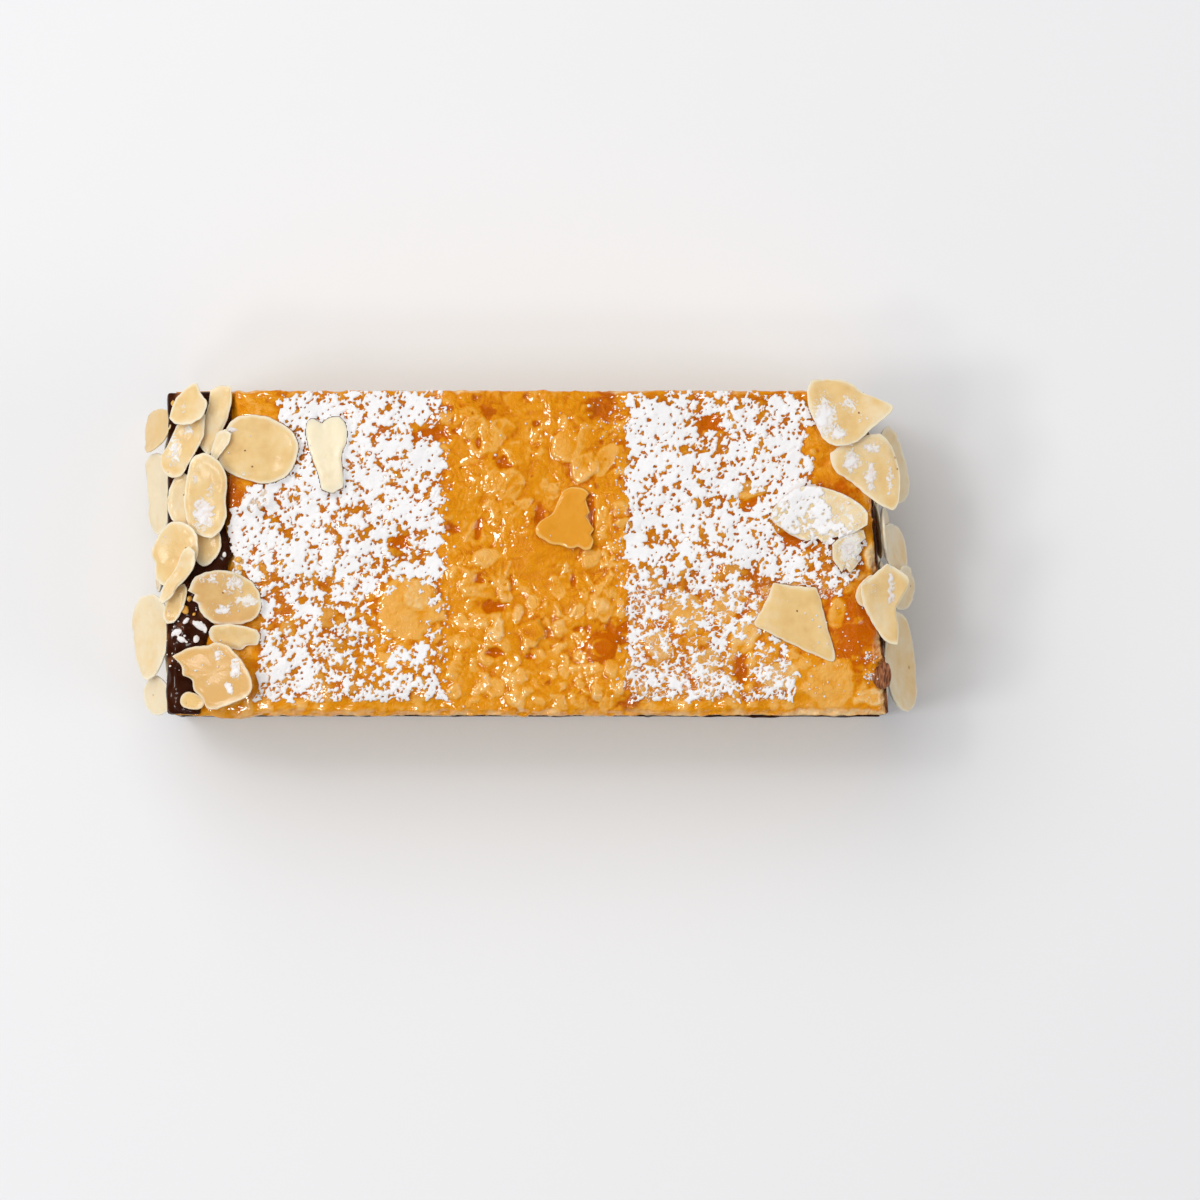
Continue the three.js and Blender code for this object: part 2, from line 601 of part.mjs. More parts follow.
const ends = [
  { bed: leftBed, prefix: 'flake_left', flakes: LEFT_END_FLAKES, along: -1 },
  { bed: rightBed, prefix: 'flake_right', flakes: RIGHT_END_FLAKES, along: 1 },
];
for (const { bed, prefix, flakes, along } of ends) {
  flakes.forEach((spec, i) => {
    const placed = { ...spec, at: [along * spec.at[0], spec.at[1]] };
    const mesh = bed.lay(numbered(prefix, i), placed, MATERIALS.almond);
    bed.cover(mesh);
    topBed.cover(mesh);
  });
}
TOP_FLAKES.forEach((spec, i) => {
  topBed.cover(topBed.lay(numbered('flake_top', i), spec, MATERIALS.almond));
});
topBed.cover(topBed.lay('glazed_shard', GLAZED_SHARD, MATERIALS.glazedAlmond));

// A chip of whole almond with its brown skin on, stuck at the right end of the top.
const CHIP = { at: [60.2, -20.6], turn: 84, size: [4.6, 2.8], taper: 0.2, bend: 0, curl: -0.4, thick: 2 };
topBed.cover(topBed.lay('almond_chip', CHIP, MATERIALS.almondSkin));

export default slice;
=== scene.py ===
import itertools
import math

import bpy
import numpy as np
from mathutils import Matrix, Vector
from mathutils.bvhtree import BVHTree


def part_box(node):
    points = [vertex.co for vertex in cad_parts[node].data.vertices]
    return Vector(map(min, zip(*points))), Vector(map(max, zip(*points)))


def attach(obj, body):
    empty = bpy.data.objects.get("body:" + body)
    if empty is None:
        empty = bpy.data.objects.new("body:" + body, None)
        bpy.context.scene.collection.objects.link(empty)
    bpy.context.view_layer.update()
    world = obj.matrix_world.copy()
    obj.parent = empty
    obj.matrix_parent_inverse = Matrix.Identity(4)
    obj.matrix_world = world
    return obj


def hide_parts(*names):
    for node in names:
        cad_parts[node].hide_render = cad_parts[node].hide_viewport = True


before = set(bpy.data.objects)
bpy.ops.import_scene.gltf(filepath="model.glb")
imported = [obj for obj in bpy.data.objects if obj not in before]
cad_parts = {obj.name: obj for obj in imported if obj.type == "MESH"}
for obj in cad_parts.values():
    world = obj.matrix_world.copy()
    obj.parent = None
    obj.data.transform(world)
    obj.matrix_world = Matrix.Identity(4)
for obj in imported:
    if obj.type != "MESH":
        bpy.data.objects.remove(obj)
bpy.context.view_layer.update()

# A praline slice: light cake in two layers with chocolate between, an almond praline crust on top,
# chocolate over both ends, flaked almonds stuck to them, and two bands of icing sugar.
# Shapes are worked out in millimetres and turned into metres when a mesh is made.
mm = 0.001


# Steady random numbers and soft noise, worked out for many points at once.

def scatter(cells, seed):  # one number from 0 to 1 for each whole-number cell
    cells = cells.astype(np.int64).astype(np.uint64)
    h = cells[..., 0] * np.uint64(73856093)
    h = h ^ (cells[..., 1] * np.uint64(19349663))
    h = h ^ (cells[..., 2] * np.uint64(83492791)) ^ np.uint64(seed * 2654435761 + 97)
    for factor in (1274126177, 2246822519, 3266489917):
        h = (h ^ (h >> np.uint64(15))) & np.uint64(0xFFFFFFFF)
        h = h * np.uint64(factor)
    return ((h >> np.uint64(7)) & np.uint64(0xFFFFFF)).astype(float) / 0xFFFFFF


def softNoise(points, cell, seed=0):  # lumps from -1 to 1, each about a cell across
    p = np.asarray(points, float) / cell
    base = np.floor(p)
    t = p - base
    t = t * t * (3 - 2 * t)
    total = 0
    for corner in itertools.product((0, 1), repeat=3):
        weight = np.prod(np.where(corner, t, 1 - t), axis=-1)
        total = total + weight * scatter(base + corner, seed)
    return total * 2 - 1


def layeredNoise(points, cell, layers=3, seed=0):
    total = 0
    for k in range(layers):
        total = total + softNoise(points, cell / 2 ** k, seed + 11 * k) / 2 ** k
    return total / (2 - 2 ** (1 - layers))


def nearestDot(points, cell, seed=0, deep=(-1, 0, 1)):
    # how far the nearest of some scattered dots is, and its number; deep=(0,) for points on a plane
    p = np.asarray(points, float) / cell
    base = np.floor(p)
    best = np.full(p.shape[:-1], 9.0)
    number = np.zeros(p.shape[:-1])
    for step in itertools.product((-1, 0, 1), (-1, 0, 1), deep):
        at = base + step
        spot = at + np.stack([scatter(at, seed + k) for k in (1, 2, 3)], axis=-1)
        if len(deep) == 1:
            spot[..., 2] = p[..., 2]
        away = np.linalg.norm(p - spot, axis=-1)
        closer = away < best
        best = np.where(closer, away, best)
        number = np.where(closer, scatter(at, seed + 4), number)
    return best * cell, number


def smoothStep(low, high, value):
    t = np.clip((value - low) / (high - low), 0, 1)
    return t * t * (3 - 2 * t)


def flat(x, y, z=0.0):
    return np.stack([x, y, np.full_like(x, z)], axis=-1)


def blur(grid, steps):  # softens a grid of values, steps cells each way
    for axis in (0, 1):
        for _ in range(2):
            padded = np.pad(grid, [(steps, steps) if a == axis else (0, 0) for a in (0, 1)], mode="edge")
            running = np.cumsum(padded, axis=axis)
            running = np.insert(running, 0, 0, axis=axis)
            size = 2 * steps + 1
            high = np.take(running, np.arange(size, running.shape[axis]), axis=axis)
            low = np.take(running, np.arange(0, running.shape[axis] - size), axis=axis)
            grid = (high - low) / size
    return grid


# Meshes.

def makePiece(name, points, faces, nodes, material, marks=None):
    mesh = bpy.data.meshes.new(name)
    mesh.from_pydata((np.asarray(points) * mm).tolist(), [], faces)
    mesh.polygons.foreach_set("use_smooth", [True] * len(mesh.polygons))
    for mark, values in (marks or {}).items():
        attribute = mesh.attributes.new(mark, "FLOAT", "POINT")
        attribute.data.foreach_set("value", np.asarray(values, np.float32).ravel())
    mesh.update()
    piece = bpy.data.objects.new(name, mesh)
    bpy.context.scene.collection.objects.link(piece)
    mesh.materials.append(material)
    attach(piece, "root")
    for node in nodes:
        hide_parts(node)


def gridFaces(rows, across, first=0, turned=False):
    at = first + np.arange(rows * across).reshape(rows, across)
    quads = np.stack([at[:-1, :-1], at[:-1, 1:], at[1:, 1:], at[1:, :-1]], axis=-1).reshape(-1, 4)
    return (quads[:, ::-1] if turned else quads).tolist()


def ringFaces(rings, count, first=0, turned=False):
    at = first + np.arange(rings * count).reshape(rings, count)
    after = np.roll(at, -1, axis=1)
    quads = np.stack([at[:-1], at[1:], after[1:], after[:-1]], axis=-1).reshape(-1, 4)
    return (quads[:, ::-1] if turned else quads).tolist()


def bandFaces(upper, lower):  # joins two rings of points, given by number
    return np.stack([upper, lower, np.roll(lower, -1), np.roll(upper, -1)], axis=-1).tolist()


def fanFaces(ring, middle, turned=False):
    after = np.roll(ring, -1)
    fan = [(int(a), int(b), int(middle)) for a, b in zip(ring, after)]
    return [f[::-1] for f in fan] if turned else fan


class Heap:  # gathers small bodies into one mesh
    def __init__(self):
        self.points = []
        self.faces = []
        self.marks = {}
        self.count = 0

    def add(self, points, faces, **marks):
        self.points.append(points)
        self.faces.extend([tuple(self.count + k for k in f) for f in faces])
        for mark, value in marks.items():
            self.marks.setdefault(mark, []).append(np.full(len(points), float(value)))
        self.count += len(points)

    def piece(self, name, nodes, slotName, material):
        marks = {mark: np.concatenate(values) for mark, values in self.marks.items()}
        makePiece(name, np.concatenate(self.points), self.faces, nodes, material, marks)


def ballShape(rings=5, around=8):  # a unit ball
    points = [(0, 0, 1)]
    for i in range(1, rings):
        a = math.pi * i / rings
        for k in range(around):
            b = 2 * math.pi * k / around
            points.append((math.sin(a) * math.cos(b), math.sin(a) * math.sin(b), math.cos(a)))
    points.append((0, 0, -1))
    ring = [[1 + i * around + k for k in range(around)] for i in range(rings - 1)]
    faces = fanFaces(ring[0], 0)
    faces += ringFaces(rings - 1, around, first=1)
    faces += fanFaces(ring[-1], len(points) - 1, turned=True)
    return np.array(points, float), faces


def nodePoints(node):
    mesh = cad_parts[node].data
    co = np.zeros(len(mesh.vertices) * 3)
    mesh.vertices.foreach_get("co", co)
    return co.reshape(-1, 3) / mm


def boxOf(node):
    low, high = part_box(node)
    return np.array(low) / mm, np.array(high) / mm


# Materials. Groups give out masks and values, and each material keeps its own shader.

def newGroup(name, inputs, outputs):
    group = bpy.data.node_groups.new(name, "ShaderNodeTree")
    for label, start in inputs.items():
        socket = group.interface.new_socket(label, in_out="INPUT", socket_type="NodeSocketFloat")
        socket.default_value = start
    for label in outputs:
        group.interface.new_socket(label, in_out="OUTPUT", socket_type="NodeSocketFloat")
    return group, group.nodes.new("NodeGroupInput"), group.nodes.new("NodeGroupOutput")


class Wiring:  # short ways to put nodes into a tree
    def __init__(self, tree):
        self.tree = tree

    def node(self, kind, links=None, **settings):
        made = self.tree.nodes.new(kind)
        for key, value in settings.items():
            setattr(made, key, value)
        for socket, source in (links or {}).items():
            self.feed(made.inputs[socket], source)
        return made

    def feed(self, socket, source):
        if isinstance(source, bpy.types.NodeSocket):
            self.tree.links.new(source, socket)
        else:
            socket.default_value = source

    def maths(self, operation, a, b=0.0, clamp=False):
        made = self.node("ShaderNodeMath", {0: a, 1: b}, operation=operation, use_clamp=clamp)
        return made.outputs[0]

    def weighed(self, *parts):  # adds values up, each times its own weight
        total = None
        for value, weight in parts:
            part = self.maths("MULTIPLY", value, weight)
            total = part if total is None else self.maths("ADD", total, part)
        return total

    def between(self, value, low, high, outLow=0.0, outHigh=1.0):
        made = self.node("ShaderNodeMapRange", {0: value, 1: low, 2: high, 3: outLow, 4: outHigh},
                         interpolation_type="SMOOTHSTEP")
        return made.outputs[0]

    def blend(self, amount, first, second, how="MIX"):
        made = self.node("ShaderNodeMix", data_type="RGBA", blend_type=how)
        self.feed(made.inputs[0], amount)
        self.feed(made.inputs[6], first if isinstance(first, bpy.types.NodeSocket) else (*first, 1))
        self.feed(made.inputs[7], second if isinstance(second, bpy.types.NodeSocket) else (*second, 1))
        return made.outputs[2]

    def mark(self, name):
        return self.node("ShaderNodeAttribute", attribute_name=name).outputs["Fac"]

    def place(self, stretch=None, turn=0.0):
        at = self.node("ShaderNodeTexCoord").outputs["Object"]
        if stretch is None:
            return at
        turned = self.node("ShaderNodeMapping", {"Vector": at, "Rotation": (0, 0, turn), "Scale": stretch})
        return turned.outputs[0]

    def noise(self, scale, detail=3.0, where=None, bend=0.0):
        links = {"Vector": where or self.place(), "Scale": scale, "Detail": detail, "Distortion": bend}
        return self.node("ShaderNodeTexNoise", links).outputs["Fac"]

    def group(self, group, **values):
        made = self.node("ShaderNodeGroup")
        made.node_tree = group
        for label, value in values.items():
            self.feed(made.inputs[label], value)
        return made.outputs


def makeMottleGroup():  # two sizes of soft mottling, as a value round a half
    group, start, end = newGroup("foodMottle", {"Scale": 300.0, "Spread": 1.0}, ["Value", "Fine"])
    w = Wiring(group)
    coarse = w.noise(start.outputs["Scale"], 2.0)
    fine = w.noise(w.maths("MULTIPLY", start.outputs["Scale"], 4.3), 4.0)
    centred = w.maths("SUBTRACT", w.weighed((coarse, 0.6), (fine, 0.4)), 0.5)
    spread = w.maths("MULTIPLY", centred, start.outputs["Spread"])
    w.feed(end.inputs["Value"], w.maths("ADD", spread, 0.5, clamp=True))
    w.feed(end.inputs["Fine"], fine)
    return group


def makeSpeckGroup():  # a mask of small scattered specks
    group, start, end = newGroup("foodSpecks", {"Scale": 400.0, "Size": 0.2, "Rarity": 0.7}, ["Mask"])
    w = Wiring(group)
    links = {"Vector": w.place(), "Scale": start.outputs["Scale"]}
    cells = w.node("ShaderNodeTexVoronoi", links)
    near = w.maths("LESS_THAN", cells.outputs["Distance"], start.outputs["Size"])
    split = w.node("ShaderNodeSeparateColor", {0: cells.outputs["Color"]})
    chosen = w.maths("GREATER_THAN", split.outputs[0], start.outputs["Rarity"])
    w.feed(end.inputs["Mask"], w.maths("MULTIPLY", near, chosen))
    return group


def makeDustGroup():  # a thin broken film of sugar, following a mark on the mesh
    group, start, end = newGroup("sugarHaze", {"Amount": 0.0, "Scale": 900.0}, ["Mask"])
    w = Wiring(group)
    patches = w.noise(start.outputs["Scale"], 5.0, bend=1.2)
    level = w.between(start.outputs["Amount"], 0.0, 1.0, 0.72, 0.30)
    sharp = w.maths("MULTIPLY", w.maths("SUBTRACT", patches, level), 7.0, clamp=True)
    w.feed(end.inputs["Mask"], w.maths("MULTIPLY", sharp, w.between(start.outputs["Amount"], 0.02, 0.15)))
    return group


def makeFibreGroup():  # fine threads in two directions, as a value round a half
    group, start, end = newGroup("fineFibres", {"Scale": 500.0}, ["Value"])
    w = Wiring(group)
    one = w.noise(start.outputs["Scale"], 2.0, w.place((1, 5, 1), 0.6), 0.6)
    two = w.noise(start.outputs["Scale"], 2.0, w.place((5, 1, 1), 0.4), 0.6)
    pick = w.between(w.noise(170.0, 1.0), 0.42, 0.58)
    mixed = w.node("ShaderNodeMix", data_type="FLOAT")
    w.feed(mixed.inputs[0], pick)
    w.feed(mixed.inputs[2], one)
    w.feed(mixed.inputs[3], two)
    w.feed(end.inputs["Value"], mixed.outputs[0])
    return group


mottle = makeMottleGroup()
specks = makeSpeckGroup()
haze = makeDustGroup()
fibres = makeFibreGroup()


def newMaterial(name, **values):  # values are set on the shader's own sockets
    material = bpy.data.materials.new(name)
    material.use_nodes = True
    shader = material.node_tree.nodes["Principled BSDF"]
    for label, value in values.items():
        shader.inputs[label].default_value = value
    return material, Wiring(material.node_tree), shader


def bumpFrom(w, shader, height, distance, strength=1.0):
    links = {"Strength": strength, "Distance": distance, "Height": height}
    normal = w.node("ShaderNodeBump", links).outputs["Normal"]
    w.feed(shader.inputs["Normal"], normal)
    return normal


pralineFinish = {
    "deep": (0.60, 0.125, 0.0),
    "caramel": (0.82, 0.31, 0.006),
    "nut": (0.90, 0.445, 0.085),
    "pale": (0.94, 0.62, 0.27),
    "crumb": (0.86, 0.58, 0.29),
    "brownedAndShade": (0.34, 0.085, 0.009),
    "dusted": (0.83, 0.72, 0.62),
}


def makePraline():
    look = pralineFinish
    material, w, shader = newMaterial(
        "almondPraline",
        **{"Roughness": 0.3, "IOR": 1.45, "Specular IOR Level": 0.2, "Coat Weight": 0.9,
           "Coat Roughness": 0.06, "Coat IOR": 1.8, "Subsurface Weight": 0.15,
           "Subsurface Radius": (1.0, 0.4, 0.1), "Subsurface Scale": 0.0010})
    grain = w.group(mottle, Scale=420.0, Spread=1.5)
    threads = w.group(fibres, Scale=520.0)["Value"]
    uneven = w.weighed((grain["Value"], 0.3), (threads, 0.2))
    tone = w.maths("ADD", w.mark("tone"), w.maths("SUBTRACT", uneven, 0.25))
    colour = w.blend(w.between(tone, -0.40, 0.45), look["deep"], look["caramel"])
    colour = w.blend(w.between(tone, 0.35, 0.95), colour, look["nut"])
    colour = w.blend(w.between(tone, 1.0, 1.6), colour, look["pale"])
    crumb = w.maths("MULTIPLY", w.mark("crumb"), w.between(grain["Fine"], 0.3, 0.6, 0.6, 1.0))
    colour = w.blend(crumb, colour, look["crumb"])
    # browned spots and wall, and painted shade in the gaps under the sugar bands
    brown = w.maths("MULTIPLY", w.mark("brownedAndShade"), w.between(grain["Fine"], 0.3, 0.7, 0.55, 1.0))
    colour = w.blend(brown, colour, look["brownedAndShade"])
    dust = w.group(haze, Amount=w.mark("dust"), Scale=1500.0)["Mask"]
    colour = w.blend(w.maths("MULTIPLY", dust, 0.75), colour, look["dusted"])
    w.feed(shader.inputs["Base Color"], colour)
    dull = w.maths("MAXIMUM", dust, crumb)
    w.feed(shader.inputs["Roughness"], w.weighed((grain["Fine"], 0.3), (dull, 0.45)))
    w.feed(shader.inputs["Coat Weight"], w.between(dull, 0.0, 0.7, 0.9, 0.0))
    wrinkles = w.noise(850.0, 2.0, bend=1.4)
    height = w.weighed((threads, 0.15), (grain["Value"], 0.35))
    bumpFrom(w, shader, w.maths("ADD", height, wrinkles), 0.00040, 0.7)
    return material


almondFinish = {
    "tan": (0.70, 0.42, 0.155),
    "gold": (0.83, 0.585, 0.265),
    "cream": (0.86, 0.715, 0.480),
    "pale": (0.92, 0.82, 0.64),
    "blanched": (0.97, 0.83, 0.60),
    "amber": (0.78, 0.45, 0.085),
    "skin": (0.33, 0.13, 0.04),
    "dusted": (0.90, 0.88, 0.86),
}


def makeAlmond():
    look = almondFinish
    material, w, shader = newMaterial(
        "flakedAlmond",
        **{"Roughness": 0.45, "IOR": 1.45, "Specular IOR Level": 0.25, "Coat Weight": 0.3,
           "Coat Roughness": 0.14, "Subsurface Weight": 0.25, "Subsurface Radius": (1.0, 0.7, 0.4),
           "Subsurface Scale": 0.0012})
    grain = w.group(mottle, Scale=150.0, Spread=2.4)
    threads = w.group(fibres, Scale=420.0)["Value"]
    uneven = w.weighed((grain["Value"], 0.85), (threads, 0.15))
    tone = w.maths("ADD", w.mark("tone"), w.maths("SUBTRACT", uneven, 0.5))
    colour = w.blend(w.between(tone, -0.5, 0.4), look["tan"], look["gold"])
    colour = w.blend(w.between(tone, 0.2, 1.0), colour, look["cream"])
    colour = w.blend(w.between(tone, 1.1, 1.7), colour, look["blanched"])
    colour = w.blend(w.maths("MULTIPLY", w.mark("edge"), 0.8), colour, look["pale"])
    colour = w.blend(w.mark("amber"), colour, look["amber"])
    spots = w.group(specks, Scale=320.0, Size=0.10, Rarity=0.88)["Mask"]
    brown = w.maths("MAXIMUM", w.maths("MULTIPLY", spots, 0.5), w.maths("MULTIPLY", w.mark("skin"), 0.85))
    colour = w.blend(brown, colour, look["skin"])
    dust = w.group(haze, Amount=w.mark("dust"), Scale=1100.0)["Mask"]
    colour = w.blend(w.maths("MULTIPLY", dust, 0.85), colour, look["dusted"])
    w.feed(shader.inputs["Base Color"], colour)
    rough = w.weighed((grain["Fine"], 0.25), (dust, 0.4))
    w.feed(shader.inputs["Roughness"], w.maths("ADD", rough, 0.3))
    height = w.weighed((grain["Value"], 1.3), (dust, 0.8), (threads, 0.25))
    bumpFrom(w, shader, height, 0.00018, 0.6)
    return material


glazedFinish = {
    "light": (0.85, 0.385, 0.045),
    "middle": (0.74, 0.285, 0.010),
    "rim": (0.92, 0.56, 0.17),
}


def makeGlazedAlmond():
    look = glazedFinish
    material, w, shader = newMaterial(
        "glazedAlmond",
        **{"Roughness": 0.25, "IOR": 1.45, "Specular IOR Level": 0.2, "Coat Weight": 0.8,
           "Coat Roughness": 0.07, "Subsurface Weight": 0.2, "Subsurface Radius": (1.0, 0.45, 0.1),
           "Subsurface Scale": 0.0014})
    grain = w.group(mottle, Scale=260.0, Spread=1.5)
    colour = w.blend(grain["Value"], look["middle"], look["light"])
    colour = w.blend(w.maths("MULTIPLY", w.mark("edge"), 0.7), colour, look["rim"])
    w.feed(shader.inputs["Base Color"], colour)
    bumpFrom(w, shader, grain["Value"], 0.0002, 0.5)
    return material


skinFinish = {
    "furrow": (0.10, 0.028, 0.010),
    "ridge": (0.46, 0.17, 0.062),
    "blotch": (0.24, 0.07, 0.022),
}


def makeAlmondSkin():
    look = skinFinish
    material, w, shader = newMaterial("almondSkin", **{"Roughness": 0.6, "IOR": 1.45})
    ridges = w.noise(900.0, 2.0, w.place((4, 0.8, 1), 0.2), 0.4)
    grain = w.group(mottle, Scale=700.0, Spread=1.6)
    colour = w.blend(w.between(ridges, 0.35, 0.62), look["furrow"], look["ridge"])
    colour = w.blend(w.between(grain["Value"], 0.3, 0.8, 0.0, 0.5), colour, look["blotch"])
    w.feed(shader.inputs["Base Color"], colour)
    bumpFrom(w, shader, ridges, 0.0004, 0.8)
    return material


chocolateFinish = {
    "dark": (0.011, 0.002, 0.0008),
    "lighter": (0.062, 0.015, 0.005),
    "smeared": (0.29, 0.095, 0.030),
    "dusted": (0.6, 0.52, 0.47),
}


def makeChocolate():
    look = chocolateFinish
    material, w, shader = newMaterial(
        "darkChocolate", **{"Roughness": 0.3, "IOR": 1.5, "Specular IOR Level": 0.05, "Coat Weight": 0.3,
                            "Coat Roughness": 0.08})
    grain = w.group(mottle, Scale=180.0, Spread=1.8)
    colour = w.blend(grain["Value"], look["dark"], look["lighter"])
    smear = w.maths("MULTIPLY", w.mark("smear"), w.between(grain["Value"], 0.35, 0.6))
    colour = w.blend(smear, colour, look["smeared"])
    dust = w.group(haze, Amount=w.mark("dust"), Scale=1100.0)["Mask"]
    colour = w.blend(w.maths("MULTIPLY", dust, 0.6), colour, look["dusted"])
    w.feed(shader.inputs["Base Color"], colour)
    w.feed(shader.inputs["Roughness"], w.between(grain["Fine"], 0.2, 0.8, 0.15, 0.5))
    bumpFrom(w, shader, grain["Value"], 0.0003, 0.5)
    return material


cakeFinish = {
    "crumb": (0.83, 0.615, 0.345),
    "deepCrumb": (0.68, 0.41, 0.17),
    "crust": (0.46, 0.215, 0.065),
}


def makeCake():
    look = cakeFinish
    material, w, shader = newMaterial(
        "lightCake",
        **{"Roughness": 0.85, "IOR": 1.4, "Specular IOR Level": 0.3, "Subsurface Weight": 0.15,
           "Subsurface Radius": (1.0, 0.7, 0.35), "Subsurface Scale": 0.0012})
    grain = w.group(mottle, Scale=500.0, Spread=1.7)
    colour = w.blend(w.maths("MULTIPLY", grain["Value"], 0.45), look["crumb"], look["deepCrumb"])
    # the pores are painted darker: painted shade in the holes of the crumb
    colour = w.blend(w.maths("MULTIPLY", w.mark("pore"), 0.75), colour, look["deepCrumb"])
    colour = w.blend(w.mark("baked"), colour, look["crust"])
    w.feed(shader.inputs["Base Color"], colour)
    bumpFrom(w, shader, grain["Fine"], 0.0003, 0.9)
    return material


icingFinish = {
    "white": (0.92, 0.903, 0.90),
    "shade": (0.80, 0.778, 0.775),
    "thin": (0.83, 0.66, 0.55),
}


def makeIcing():
    look = icingFinish
    material, w, shader = newMaterial(
        "icingSugar",
        **{"Roughness": 0.85, "IOR": 1.5, "Specular IOR Level": 0.2, "Subsurface Weight": 0.35,
           "Subsurface Radius": (1.0, 0.95, 0.9), "Subsurface Scale": 0.0005})
    grain = w.group(mottle, Scale=1500.0, Spread=1.4)
    colour = w.blend(w.maths("MULTIPLY", grain["Value"], 0.25), look["white"], look["shade"])
    thin = w.between(w.mark("thin"), 0.15, 1.0, 0.0, 0.65)
    colour = w.blend(thin, colour, look["thin"])
    w.feed(shader.inputs["Base Color"], colour)
    bumpFrom(w, shader, grain["Fine"], 0.00012, 0.6)
    return material


praline = makePraline()
flakedAlmond = makeAlmond()
glazedAlmond = makeGlazedAlmond()
almondSkin = makeAlmondSkin()
chocolate = makeChocolate()
lightCake = makeCake()
icingSugar = makeIcing()
print("materials made")


# The outline of the bar, read from the solids.

crustLow, crustHigh = boxOf("praline_crust")
cakeHigh = boxOf("cake_top")[1][2]
coatPoints = nodePoints("chocolate_coat_left")
halfWidth = crustHigh[1]


def endLine(node):  # the right end's line, as x at the middle and how much it falls for each mm of y
    points = nodePoints(node)
    front = points[points[:, 1] < points[:, 1].min() + 0.5][:, 0].max()
    back = points[points[:, 1] > points[:, 1].max() - 0.5][:, 0].max()
    span = points[:, 1].max() - points[:, 1].min()
    return (front + back) / 2, (front - back) / span


endAtMiddle, endSlope = endLine("praline_crust")


def rightEnd(y):
    return endAtMiddle - endSlope * y


bandPoints = coatPoints[coatPoints[:, 2] > coatPoints[:, 2].max() - 0.05]
bandRows = np.unique(np.round(bandPoints[:, 1], 2))
bandEdge = [bandPoints[np.abs(bandPoints[:, 1] - row) < 0.02][:, 0].max() for row in bandRows]


def shoulderAt(y):  # where the chocolate on the left of the top stops
    return np.interp(y, bandRows, bandEdge) + 0.5


def treeOf(meshes):  # the meshes as one thing that rays can be sent at
    points, faces = [], []
    for mesh in meshes:
        start = len(points)
        points += [v.co / mm for v in mesh.vertices]
        faces += [[start + k for k in p.vertices] for p in mesh.polygons]
    return BVHTree.FromPolygons(points, faces)


def surfaceTree(names):  # the same for pieces made here, by name
    return treeOf([bpy.data.objects[name].data for name in names])


wellAbove = 80  # where rays start, in mm over the floor
topStarts = 30  # anything lower isn't on the top of the slice
missed = -50  # stands for a height where a ray meets nothing
straightDown = Vector((0, 0, -1))


def heightAt(tree, x, y, empty=missed):  # how high the first thing met from above is
    hit = tree.ray_cast(Vector((x, y, wellAbove)), straightDown)[0]
    return empty if hit is None else hit.z


def heightsOver(tree, x, y, empty=missed):
    heights = [heightAt(tree, *spot, empty) for spot in zip(x.ravel(), y.ravel())]
    return np.array(heights, float).reshape(x.shape)


# The praline crust: flakes and chips of almond bedded in caramel.

crustPlan = {
    "rowStep": 0.245,
    "columnSteps": [  # from, to, step: finest where no sugar lies
        (-58.5, -51, 1.2), (-51, -14.5, 0.44), (-14.5, 17.5, 0.2), (17.5, 46, 0.44), (46, 58.6, 0.3),
    ],
    "sideRows": 11,
    "overhang": 0.4,  # how far the crust runs past the cake at the right
    "highest": 0.75,  # over the solid, and lowest under it
    "lowest": 0.8,
    "bigFlakes": 210,
    "chips": 980,
    "pits": 90,
    "seed": 41,
}

# What a bedded flake is like where its own line doesn't say.
usualFlake = {
    "taper": 0.15,  # how much narrower one end is
    "cuts": (),  # straight breaks: which way from the middle in degrees, and how far
    "wobble": 0.2,
    "slope": (0, 0),  # along and across it
    "follow": 0.3,  # how much of what lies under it shows through
    "dome": 0.05,
    "dish": 0,
    "grain": 0,
    "rings": (),  # ridges on its left side, by their distance from the rim, painted lighter there as a painted highlight
    "lip": 0.04,
    "edge": 0.45,  # how wide its rim slopes
    "line": 0.3,  # how pale the rim is
    "smooth": 0,
    "dust": 0,
    "seed": 5,
}

